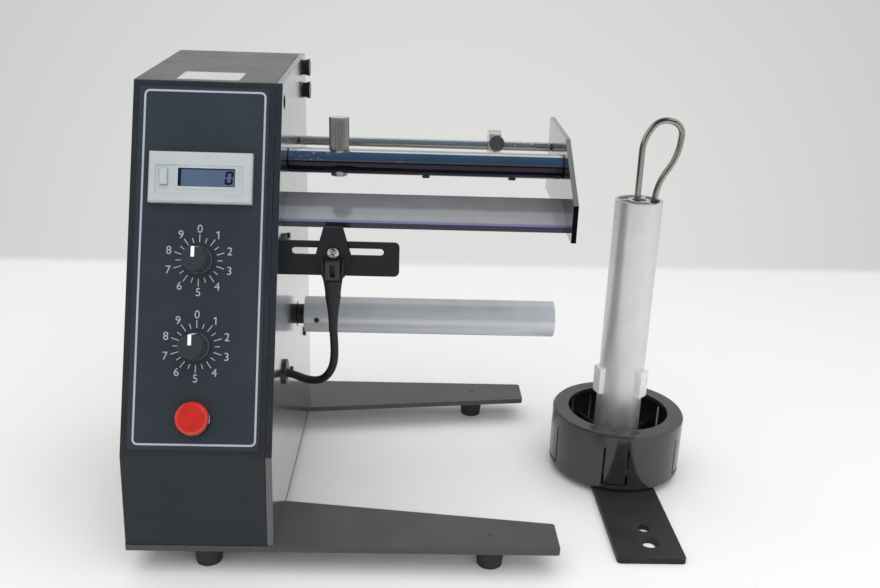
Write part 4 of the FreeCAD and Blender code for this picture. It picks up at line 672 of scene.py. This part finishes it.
makeFinish("legCoat", (0.03, 0.031, 0.032), (0.038, 0.039, 0.039), (0.3, 0.42), ["base_plate"],
    grain=2.2, depth=0.03, wear=0.5, bare=(0.32, 0.32, 0.32), dust=0.12, round=0.3, shine=0.7)
makeFinish("holderCoat", (0.015, 0.015, 0.017), (0.02, 0.02, 0.022), (0.42, 0.55), ["holder_arm"],
    grain=2.2, bump=0.25, depth=0.03, wear=0.6, bare=(0.35, 0.35, 0.35), dust=0.06, round=0.35,
    shine=0.25)
makeFinish("bracketCoat", (0.008, 0.009, 0.011), (0.011, 0.012, 0.014), (0.42, 0.55),
    ["sensor_bracket", "sensor_carriage"], grain=2.5, bump=0.2, dust=0.08, shine=0.25)
# The peel plate's crest gets a painted lavender highlight, and its upright and downward faces get
# painted shade.
makeFinish("peelGloss", (0.25, 0.255, 0.275), (0.28, 0.285, 0.305), (0.08, 0.15), ["peel_plate"],
    grain=0.4, mottle=0.09, bump=0.02, dust=0.1, round=0.15, metal=0.45,
    facing=[((0, -0.694, 0.72), 0.98, (0.27, 0.28, 0.46))], below=(0.03, 0.029, 0.05))
print("sheet metal dressed")


# Turned and plated metal

# The bar's upright and downward faces get near-black painted shade: the dark room painted in as the
# reflection on its lower half.
makeFinish("barChrome", (0.6, 0.66, 0.72), (0.7, 0.73, 0.76), (0.05, 0.1), metal=1.0,
    stretch=(0.05, 1.0, 1.0), lines=0.5, bump=0.02, dust=0.08, speck=0.2, specks=0.7,
    speckColour=(0.95, 0.97, 1.0), speckStrength=1.0, round=0.3, below=(0.03, 0.028, 0.04))
# The screws' upward faces get a near-white painted highlight.
makeFinish("screwNickel", (0.25, 0.25, 0.24), (0.33, 0.325, 0.31), (0.2, 0.3), metal=0.9,
    grain=0.8, mottle=0.3, bump=0.08, round=0.08, facing=[(up, 0.97, (0.85, 0.8, 0.79))])
makeFinish("zincPlate", (0.52, 0.53, 0.52), (0.62, 0.62, 0.58), (0.22, 0.38),
    ["base_screws", "bar_screws", "bracket_screws", "pot_nuts", "motor_plate", "motor_standoffs",
     "board_posts", "gear_motor"], metal=1.0, grain=2.0, bump=0.15, round=0.2)
makeFinish("blackScrew", (0.018, 0.018, 0.019), (0.03, 0.03, 0.031), (0.3, 0.45),
    ["holder_screws", "standoff_screws", "grub_screws", "tube_screw", "spindle_clip"], metal=0.4,
    grain=2.5, bump=0.2)
makeFinish("plainSteel", (0.45, 0.45, 0.45), (0.55, 0.55, 0.54), (0.22, 0.4),
    ["motor_shaft", "holder_axle", "length_shaft", "speed_shaft", "potentiometers"], metal=1.0,
    stretch=(0.1, 1.0, 1.0), bump=0.15, round=0.2)
makeFinish("tubeAlloy", (0.55, 0.57, 0.6), (0.61, 0.62, 0.645), (0.3, 0.42), ["takeup_tube"],
    metal=0.38, stretch=(0.02, 1.0, 1.0), lines=1.6, bump=0.22, depth=0.01, round=0.3)
makeFinish("holderAlloy", (0.66, 0.66, 0.66), (0.73, 0.73, 0.725), (0.28, 0.44), ["holder_tube"],
    metal=0.7, stretch=(1.0, 1.0, 0.02), lines=1.6, bump=0.25, depth=0.01, round=0.3)
makeFinish("wireSteel", (0.33, 0.31, 0.29), (0.36, 0.34, 0.32), (0.2, 0.26), ["wire_clip"],
    metal=1.0, grain=0.1, mottle=0.03, bump=0.0, round=0.05)
makeFinish("bronze", (0.42, 0.27, 0.11), (0.5, 0.33, 0.14), (0.35, 0.5), ["pinion"], metal=1.0,
    grain=1.5, round=0.15)
makeFinish("ironLaminate", (0.07, 0.06, 0.055), (0.1, 0.09, 0.08), (0.4, 0.55),
    ["transformer_core"], metal=0.7, stretch=(0.02, 1.0, 0.02), lines=1.2, bump=0.4, round=0.2)
makeFinish("collarNickel", (0.56, 0.57, 0.57), (0.64, 0.645, 0.64), (0.12, 0.2), ["guide_collar"],
    metal=0.7, grain=0.8, bump=0.06, round=0.2)
makeFinish("blackSteel", (0.035, 0.036, 0.036), (0.055, 0.055, 0.052), (0.35, 0.5),
    ["spindle", "spindle_bushes"], metal=0.6, grain=1.5, bump=0.15, round=0.2)
# The shaft's upright and downward faces get painted shade in a darker grey.
makeFinish("shaftChrome", (0.55, 0.6, 0.64), (0.64, 0.67, 0.69), (0.06, 0.12), ["guide_shaft"],
    metal=0.86, stretch=(0.05, 1.0, 1.0), lines=0.5, bump=0.02, dust=0.1, speck=0.18, specks=0.6,
    speckColour=(0.9, 0.92, 0.95), speckStrength=0.8, round=0.3, below=(0.26, 0.26, 0.24))

pressBar = {"chamfer": 0.5, "rings": 40, "columns": 96}  # mm


# The press bar: a turned length with a chamfer at each end.
def makeBar():
    low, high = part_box("press_bar")
    radius, chamfer, length = (high.z - low.z) / 2, pressBar["chamfer"] * mm, high.x - low.x
    rises = np.concatenate([[0, 0, chamfer], np.linspace(0.02, 0.98, pressBar["rings"]) * length,
                            [length - chamfer, length, length]])
    radii = np.full(len(rises), radius)
    radii[[0, -1]] = 0
    radii[[1, -2]] = radius - chamfer
    place = placeAt((low.x, (low.y + high.y) / 2, (low.z + high.z) / 2), (1, 0, 0), (0, 1, 0))
    points = turned(np.column_stack([radii, rises]), pressBar["columns"])
    gridPiece("pressBar", points, place, "barChrome", "root", "chrome_bar", "press_bar")


makeBar()
print("metal dressed")


# Mouldings

makeFinish("blackMoulding", (0.016, 0.016, 0.018), (0.022, 0.022, 0.024), (0.34, 0.48),
    ["sensor_head", "switch_body", "power_inlet", "fuse_holder", "cable_grommet"], grain=2.0,
    bump=0.2, dust=0.1, round=0.2)
makeFinish("drumGloss", (0.024, 0.024, 0.026), (0.03, 0.03, 0.032), (0.08, 0.16), ["core_drum"],
    grain=0.5, mottle=0.08, bump=0.04, dust=0.1, round=0.4, shine=0.68)
makeFinish("footRubber", (0.016, 0.016, 0.016), (0.026, 0.026, 0.025), (0.6, 0.75),
    ["rubber_feet"], grain=1.2, bump=0.35, dust=0.2, round=0.4)
makeFinish("clipPlastic", (0.88, 0.9, 0.9), (0.92, 0.935, 0.935), (0.22, 0.34), ["tube_clips"],
    clear=0.15, grain=1.0, bump=0.08, round=0.7)
makeFinish("acetal", (0.72, 0.7, 0.64), (0.78, 0.76, 0.7), (0.35, 0.5), ["drive_gear"], grain=1.0,
    bump=0.12, round=0.15)
makeFinish("boardGreen", (0.01, 0.07, 0.03), (0.014, 0.09, 0.04), (0.25, 0.4), ["control_board"],
    grain=1.2, bump=0.15, round=0.1)
makeFinish("coilTape", (0.5, 0.34, 0.07), (0.58, 0.4, 0.1), (0.35, 0.5), ["transformer_coil"],
    stretch=(0.05, 0.05, 1.0), lines=0.6, round=0.5)
print("mouldings dressed")


# Control panel: the printed film with its border line and two scales, the knobs, the counter
# and the button

panel = {
    "normal": Vector(joints["length_turn"]["axis"]).normalized(),
    "lengthCentre": Vector(joints["length_turn"]["pos_m"]),
    "speedCentre": Vector(joints["speed_turn"]["pos_m"]),
    "print": 0.03, "sunk": -0.01,  # mm above the film's face, and below it
}
makeFinish("filmInk", (0.36, 0.385, 0.46), (0.42, 0.445, 0.52), (0.4, 0.5), grain=2.0, bump=0.05,
    round=0.02)
makeFinish("panelFilm", (0.024, 0.031, 0.039), (0.028, 0.037, 0.046), (0.34, 0.44),
    ["front_overlay"], grain=3.2, bump=0.14, mottle=0.03, dust=0.06, round=0.2)
makeFinish("knobPlastic", (0.03, 0.038, 0.046), (0.035, 0.044, 0.052), (0.24, 0.34), grain=2.0,
    bump=0.1, dust=0.04, round=0.15)
makeFinish("pointerPaint", (0.86, 0.87, 0.88), (0.92, 0.92, 0.92), (0.4, 0.5), grain=2.0,
    bump=0.05, round=0.1)
makeFinish("counterWhite", (0.44, 0.475, 0.48), (0.475, 0.51, 0.515), (0.34, 0.46),
    ["counter_case", "counter_button"], grain=1.6, bump=0.08, dust=0.03, round=0.35)
makeFinish("displayGlass", (0.078, 0.112, 0.178), (0.089, 0.126, 0.196), (0.08, 0.16),
    ["counter_display"], grain=0.6, bump=0.02, round=0.05, coat=0.3)
# Dark ink for the digits, also used for the painted shadow on the display's glass.
makeFinish("displayInkAndShadow", (0.004, 0.007, 0.025), (0.006, 0.01, 0.03), (0.2, 0.3), grain=1.0,
    bump=0.02, round=0.02)
makeFinish("lensRed", (0.56, 0.026, 0.016), (0.47, 0.02, 0.013), (0.14, 0.22), grain=0.5,
    mottle=0.12, bump=0.03, round=0.2, milky=0.2, glow=0.03, coat=0.3)
# The bezel's upright and downward faces get near-black painted shade.
makeFinish("bezelMoulding", (0.34, 0.34, 0.36), (0.4, 0.4, 0.42), (0.08, 0.16), ["switch_bezel"],
    metal=1.0, grain=0.6, bump=0.03, below=(0.02, 0.02, 0.022))


# A place on the film's face, straight in front of a centre on the panel.
def filmPlace(centre):
    out = panel["normal"]
    heights = [(vertex.co - centre).dot(out) for vertex in nodes["front_overlay"].data.vertices]
    return placeAt(centre + out * max(heights), out)


border = {"left": -27.7, "right": 28.6, "low": 5.6, "high": 171.5, "corner": 2.2,
          "width": 0.95, "dialRise": 51.2}  # mm, from the panel's foot; the lower dial's rise


# The border: a rounded rectangle drawn as a strip.
def makeBorder():
    left, right, low, high = (border[key] for key in ("left", "right", "low", "high"))
    centre = np.array([(left + right) / 2, (low + high) / 2 - border["dialRise"]]) * mm
    loop = roundedLoop((right - left) / 2 * mm, (high - low) / 2 * mm, border["corner"] * mm, 12)
    grid = strip(loop + centre, border["width"] * mm, panel["sunk"] * mm, panel["print"] * mm)
    gridPiece("panelBorder", grid, filmPlace(panel["speedCentre"]), "filmInk", "root",
              "panel_film", wrapRows=True)


scale = {"ticks": 20, "figures": 10, "tickStart": 8.6, "shortEnd": 11.0, "longEnd": 12.3,
         "tickWidth": 0.42, "figureRadius": 14.9, "figureHeight": 5.4,
         "flag": [(-0.85, -1.05), (0.02, -0.75), (0.02, 0.0), (-0.85, -0.62)]}  # mm


# The direction of a mark, counted clockwise from the top.
def clockwise(number, count):
    turn = math.radians(90 - 360 / count * number)
    return np.array([math.cos(turn), math.sin(turn)])


# A dial's scale: a tick every 18 degrees, long at each figure, and the figures 0 to 9 clockwise
# from the top.
def makeScale(name, centre):
    low, high = panel["sunk"] * mm, panel["print"] * mm
    points, faces = [], []
    sides = [(0, 1, 5, 4), (1, 2, 6, 5), (2, 3, 7, 6), (3, 0, 4, 7), (3, 2, 1, 0), (4, 5, 6, 7)]

    def add(block, shapes):
        start = sum(len(part) for part in points)
        points.append(block)
        faces.extend([start + corner for corner in face] for face in shapes)

    def addSlab(flat):
        add(np.vstack([atLevel(flat, low), atLevel(flat, high)]), sides)

    for number in range(scale["ticks"]):
        way = clockwise(number, scale["ticks"])
        half = np.array([-way[1], way[0]]) * scale["tickWidth"] / 2 * mm
        end = scale["shortEnd"] if number % 2 else scale["longEnd"]
        near, far = way * (scale["tickStart"] * mm), way * (end * mm)
        addSlab([near - half, far - half, far + half, near + half])
    for number in range(scale["figures"]):
        block, shapes = figure(str(number), scale["figureHeight"] * mm, high - low)
        way = np.array([*clockwise(number, scale["figures"]), 0])
        block = block + way * scale["figureRadius"] * mm
        block[:, 2] += (low + high) / 2
        add(block, shapes)
        if number == 1:
            # The built-in figure one is a bare stem: a flag leans out from its top.
            addSlab(np.array(scale["flag"]) * mm + (block[:, 0].min(), block[:, 1].max()))
    piece = addMesh(name, moved(np.vstack(points), filmPlace(centre)), faces)
    finishPiece(piece, "filmInk", "root", "panel_film")


knob = {
    "flutes": 24, "fluteDepth": 0.1, "columns": 240, "gripRows": 24,
    "rootShare": 0.9, "topShare": 0.79,  # of the flange's radius
    "flange": 2.1, "step": 0.5, "gripFoot": 1.0, "gripHead": 0.9, "edge": 0.35,  # mm
    "fluteFade": 3, "fluteRound": 0.7,  # how fast the flutes fade, and their power
    "pointerWidth": 1.6, "pointerProud": 0.08, "pointerBend": 0.3, "pointerFoot": 0.6,  # mm
}


# A knob: a flanged, fluted and slightly tapered body. The flutes are |sin| waves that fade at
# both ends.
def makeKnob(prefix, centre):
    place = filmPlace(centre)
    radius, low, high = reachOf(localPoints(prefix + "_knob", place))
    root, top = radius * knob["rootShare"], radius * knob["topShare"]
    flange = low + knob["flange"] * mm
    profile = softened([(0, low), (radius, low), (radius, flange),
                        (root, flange + knob["step"] * mm), (top, high), (0, high)],
                       knob["edge"] * mm, 6)
    grip = np.linspace(0, 1, knob["gripRows"])[:, None]
    foot = np.array([root, flange + knob["gripFoot"] * mm])
    head = np.array([top * 1.01, high - knob["gripHead"] * mm])
    at = int(np.argmax(profile[:, 1] > flange + knob["gripHead"] * mm))
    profile = np.vstack([profile[:at], foot + (head - foot) * grip,
                         profile[at:][profile[at:, 1] > head[1]]])
    along = np.clip((profile[:, 1] - foot[1]) / (head[1] - foot[1]), 0, 1)
    depth = knob["fluteDepth"] * mm * np.clip(np.sin(along * math.pi) * knob["fluteFade"], 0, 1)
    points = turned(profile, knob["columns"], lambda a: 1 - np.abs(
        np.sin(a * knob["flutes"] / 2)) ** knob["fluteRound"], depth)
    gridPiece(prefix + "Knob", points, place, "knobPlastic", prefix + "_dial", "knob",
              prefix + "_knob", crease=40)
    # The pointer: a painted strip from near the middle of the cap, over its edge and down to
    # the flange.
    proud, half = knob["pointerProud"] * mm, knob["pointerWidth"] / 2 * mm
    foot = (root * 0.995, flange + knob["pointerFoot"] * mm)
    line = softened([(0.1 * top, high), (top, high), foot], knob["pointerBend"] * mm, 6)
    outer, inner = (np.array([[(x, out + lift, level + lift) for x in (-half, half)]
                              for out, level in line]) for lift in (proud, -proud * 4))
    loop = np.concatenate([outer[:, :1], outer[:, 1:], inner[:, 1:], inner[:, :1]], axis=1)
    gridPiece(prefix + "Pointer", capped(loop), place, "pointerPaint", prefix + "_dial", "knob")


digit = {"height": 6.4, "width": 3.7, "bar": 1.0, "gap": 0.22, "slant": 0.09, "fromRight": 1.0,
         "print": 0.03}  # mm; the slant is a share of the height
# The frame round the display, and the widths and lift of the painted shadow inside it.
display = {"frame": 1.4, "frameCorner": 0.7, "frameSunk": 0.4, "frameProud": 0.25,
           "shadowLeft": 1.5, "shadowTop": 0.55, "shadowRest": 0.15, "shadowLift": 0.02}  # mm


# The counter's display. A digit's six lit bars: each is a long hexagon, and the whole leans by
# a share of its height. Round the glass runs a raised frame, and inside it a painted shadow, widest
# along the left and top edges.
def makeDisplay():
    centre = Vector(pointsOf(nodes["counter_display"].data).mean(axis=0))
    flat = placeAt(centre, panel["normal"])
    local = localPoints("counter_display", flat)
    (left, low), (right, high), top = local[:, :2].min(0), local[:, :2].max(0), local[:, 2].max()
    width, height, bar, gap = (digit[key] * mm for key in ("width", "height", "bar", "gap"))
    x = right - digit["fromRight"] * mm - width / 2
    bars = [((x + side * (width - bar) / 2, level * height / 4), (0, 1), height / 2 - gap)
            for side, level in ((-1, 1), (-1, -1), (1, 1), (1, -1))]
    bars += [((x, level * (height - bar) / 2), (1, 0), width - bar - gap) for level in (-1, 1)]
    blocks = []
    for middle, way, length in bars:
        way = np.array(way)
        tip, shoulder, half = way * length / 2, way * (length - bar) / 2, way[::-1] * bar / 2
        loop = np.array([tip, shoulder + half, -shoulder + half, -tip, -shoulder - half,
                         shoulder - half]) + middle
        loop[:, 0] += loop[:, 1] * digit["slant"]
        blocks.append(capped([atLevel(loop, top), atLevel(loop, top + digit["print"] * mm)]))
    points, faces = gathered(blocks)
    piece = makePiece("counterDigit", moved(points, flat), faces)
    finishPiece(piece, "displayInkAndShadow", "root", "display")

    spread = display["frame"] / 2 * mm
    around = roundedLoop((right - left) / 2 + spread, (high - low) / 2 + spread,
                         display["frameCorner"] * mm, 6)
    around += ((right + left) / 2, (high + low) / 2)
    grid = strip(around, display["frame"] * mm, top - display["frameSunk"] * mm,
                 top + display["frameProud"] * mm)
    gridPiece("displayFrame", grid, flat, "counterWhite", "root", "counter_white", wrapRows=True)

    # A painted shadow on the glass in the dark ink: wide on the left, narrower at the top and thin
    # on the other sides, where the window's recess shades it.
    rest = display["shadowRest"] * mm
    x, y = left + display["shadowLeft"] * mm, high - display["shadowTop"] * mm
    inner = [(x, low + rest), (right - rest, low + rest), (right - rest, y), (x, y)]
    outer = [(left, low), (right, low), (right, high), (left, high)]
    shadowLevel = top + display["shadowLift"] * mm
    grid = np.array([atLevel(loop, level) for loop, level in
                     ((outer, top), (outer, shadowLevel), (inner, shadowLevel), (inner, top))])
    gridPiece("displayPaintedShadow", grid, flat, "displayInkAndShadow", "root", "display", wrapRows=True)


lens = {"edge": 1.1, "ripple": 0.05, "rings": 7, "rows": 40, "columns": 96, "stemShare": 0.64,
        "bend": 0.25, "rimShare": 0.2, "rimDrop": 0.45}  # mm; shares of the lens's radius


# The lens: a low dome with a rounded rim; inside the rim it ripples in rings, z = h cos(k r).
def makeLens():
    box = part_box("power_button")
    place = placeAt((box[0] + box[1]) / 2, -Vector(joints["power_press"]["axis"]).normalized())
    local = localPoints("power_button", place)
    radius, low, high = reachOf(local)
    edge, stem = lens["edge"] * mm, radius * lens["stemShare"]
    seat = local[np.hypot(local[:, 0], local[:, 1]) > radius * 0.98, 2].min()
    wall = softened([(0, low), (stem, low), (stem, seat), (radius, seat),
                     (radius, high - edge * 1.3), (radius - edge * 0.35, high - edge * 0.6)],
                    lens["bend"] * mm)
    t = np.linspace(0, 1, lens["rows"])
    radii = (radius - edge * 0.5) * (1 - t)
    rim, drop = np.clip(t / lens["rimShare"], 0, 1), edge * lens["rimDrop"]
    dome = high - drop + drop * np.sin(rim * math.pi / 2)
    wave = 0.5 - 0.5 * np.cos(radii / radius * 2 * math.pi * lens["rings"])
    dome -= lens["ripple"] * mm * wave * (rim >= 1)
    grid = turned(np.vstack([wall, np.column_stack([radii, dome])]), lens["columns"])
    gridPiece("buttonLens", grid, place, "lensRed", "power_key", "red_lens", "power_button",
              crease=50)


makeBorder()
makeScale("lengthScale", panel["lengthCentre"])
makeScale("speedScale", panel["speedCentre"])
makeKnob("length", panel["lengthCentre"])
makeKnob("speed", panel["speedCentre"])
makeDisplay()
makeLens()
print("panel made")


# Knurled screws and the carriage screw

knurl = {"flutes": 36, "depth": 0.32, "chamfer": 0.5, "columnsEach": 8, "rows": 12}  # mm
knurledScrews = {  # mm: where the head starts on its place, and the neck's radius
    "thumb_screw": {"piece": "pressScrew", "joint": "press_screw_turn", "body": "press_screw",
                    "head": 1.6, "neck": 4.2, "sunk": 2},
    "collar_screw": {"piece": "collarScrew", "joint": "collar_screw_turn",
                     "body": "guide_screw", "head": -4.0, "neck": 2.4},
}


# A knurled head: |sin| flutes on the head's wall, which fade at the chamfers.
def knurledHead(node, place, head, neck):
    radius, low, high = reachOf(localPoints(node, place))
    chamfer, flutes = knurl["chamfer"] * mm, knurl["flutes"]
    corners = [(0, low), (neck, low), (neck, head), (radius, head), (radius, high), (0, high)]
    edges = softened(corners, chamfer, 6)
    rise = np.linspace(head + chamfer, high - chamfer, knurl["rows"])
    first = int(np.argmax(edges[:, 0] > radius * 0.999)) + 1
    profile = np.vstack([edges[:first], np.column_stack([np.full(len(rise), radius), rise]),
                         edges[first:][edges[first:, 1] > high - chamfer]])
    fade = np.clip(np.minimum(profile[:, 1] - head, high - profile[:, 1]) / chamfer, 0, 1)
    depth = knurl["depth"] * mm * fade * (profile[:, 0] > radius * 0.7)
    return turned(profile, flutes * knurl["columnsEach"],
                  lambda a: 1 - np.abs(np.sin(a * flutes / 2)), depth)


def makeKnurledScrews():
    for node, screw in knurledScrews.items():
        centre, out = Vector(joints[screw["joint"]]["pos_m"]), joints[screw["joint"]]["axis"]
        if "sunk" in screw:  # stands upright, measured from below the bar's top
            centre.z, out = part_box("press_bar")[1].z - screw["sunk"] * mm, up
        place = placeAt(centre, out)
        grid = knurledHead(node, place, screw["head"] * mm, screw["neck"] * mm)
        gridPiece(screw["piece"], grid, place, "screwNickel", screw["body"], "nickel_screw",
                  node, crease=25)


cross = {"radius": 2.8, "dome": 0.8, "skirt": 0.8, "reach": 2.0, "width": 0.42, "depth": 1.3,
         "soft": 0.2, "turn": 28, "rows": 44, "columns": 120, "shank": 1.5}  # mm and degrees
nut = {"height": 1.8, "flats": 5.5, "foot": 0.5, "chamfer": 0.2, "faceShare": 0.92}  # mm


# The carriage's screw. Head: depth = dome (r/R)^3 and a cross that deepens inwards, on a turned
# shank, with a hexagon nut: its radius is half its flats over the cosine of the angle from the
# nearest flat.
def makePanHead():
    low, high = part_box("carriage_screw")
    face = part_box("sensor_carriage")[0].y
    place = placeAt(Vector(((low.x + high.x) / 2, low.y, (low.z + high.z) / 2)), (0, -1, 0))
    radius, base, tail = cross["radius"] * mm, -(face - low.y), low.y - high.y
    t = np.linspace(0, 1, cross["rows"])[::-1, None] ** 0.8
    angle = circleAngles(cross["columns"])
    x, y = radius * t * np.cos(angle), radius * t * np.sin(angle)
    turn = math.radians(cross["turn"])
    across = np.minimum(np.abs(x * math.cos(turn) + y * math.sin(turn)),
                        np.abs(y * math.cos(turn) - x * math.sin(turn)))
    inside = np.clip((cross["width"] * mm - across) / (cross["soft"] * mm), 0, 1)
    taper = np.clip(1 - np.hypot(x, y) / (cross["reach"] * mm), 0, 1) ** 0.5
    z = -cross["dome"] * mm * t ** 3 - cross["depth"] * mm * inside * taper
    foot, shank = tail + nut["foot"] * mm, cross["shank"] * mm
    nutTop = tail + nut["height"] * mm + nut["foot"] * mm
    lower = [(0.0, tail), (shank, tail), (shank, nutTop), (shank, base), (radius, base),
             (radius, base + cross["skirt"] * mm)]
    screw = np.concatenate([turned(np.array(lower), len(angle)), np.stack([x, y, z], -1)])
    flats = np.abs((angle + math.pi / 6) % (math.pi / 3) - math.pi / 6)
    reach = nut["flats"] / 2 * mm / np.cos(flats)
    hexagon = np.column_stack([reach * np.cos(angle), reach * np.sin(angle)])
    share, chamfer = nut["faceShare"], nut["chamfer"] * mm
    rings = [(0, nutTop), (share, nutTop), (1, nutTop - chamfer), (1, foot + chamfer),
             (share, foot), (0, foot)]
    points, faces = gathered([screw, np.array([atLevel(hexagon * size, level)
                                               for size, level in rings])])
    piece = makePiece("panHead", moved(points, place), faces, 30)
    finishPiece(piece, "zincPlate", "label_sensor", "zinc_screw", "carriage_screw")


makeKnurledScrews()
makePanHead()
print("screws made")


# The bare paper label on the cover's top

label = {"left": -51.2, "right": -21.4, "front": 72.5, "back": 92.5, "corner": 1.2,
         "thickness": 0.12, "chamfer": 0.1, "chamferShare": 0.7}  # mm, from the machine's origin
machineOrigin = Vector((77.25, 95.5, 0)) * mm
makeFinish("labelPaper", (0.52, 0.52, 0.54), (0.58, 0.58, 0.59), (0.5, 0.62), grain=1.4, bump=0.12,
    dust=0.04, round=0.1)


# The label: rounded rectangles that shrink to its middle; z follows the cover's slope, lifted
# by the thickness.
def makeLabel():
    cover = nodes["cover"].data
    top = max((vertex.co for vertex in cover.vertices), key=lambda point: point.z)
    edge = [vertex.co for vertex in cover.vertices if abs(vertex.co.x - top.x) < 1 * mm]
    crest = max(edge, key=lambda point: point.z - point.y * 0.4)
    slope = (top.z - crest.z) / (top.y - crest.y)
    left, right, front, back, corner, thick, chamfer = (label[key] for key in (
        "left", "right", "front", "back", "corner", "thickness", "chamfer"))
    width, depth = (right - left) / 2, (back - front) / 2
    middle = (((left + right) / 2) * mm - machineOrigin.x,
              ((front + back) / 2) * mm - machineOrigin.y)
    levels = [(width, depth, corner, 0.0), (width, depth, corner, thick * label["chamferShare"]),
              (width - chamfer, depth - chamfer, corner, thick)]
    levels += [(width * s, depth * s, corner * s, thick) for s in (0.9, 0.7, 0.45, 0.2)]
    grid = stacked([(halfWidth * mm, halfDepth * mm, radius * mm, middle, level * mm)
                    for halfWidth, halfDepth, radius, level in levels])
    grid[..., 2] += crest.z + (grid[..., 1] - crest.y) * slope
    gridPiece("paperLabel", grid, Matrix(), "labelPaper", "root", "panel_film")


makeLabel()
print("label made")

print("all pieces made")
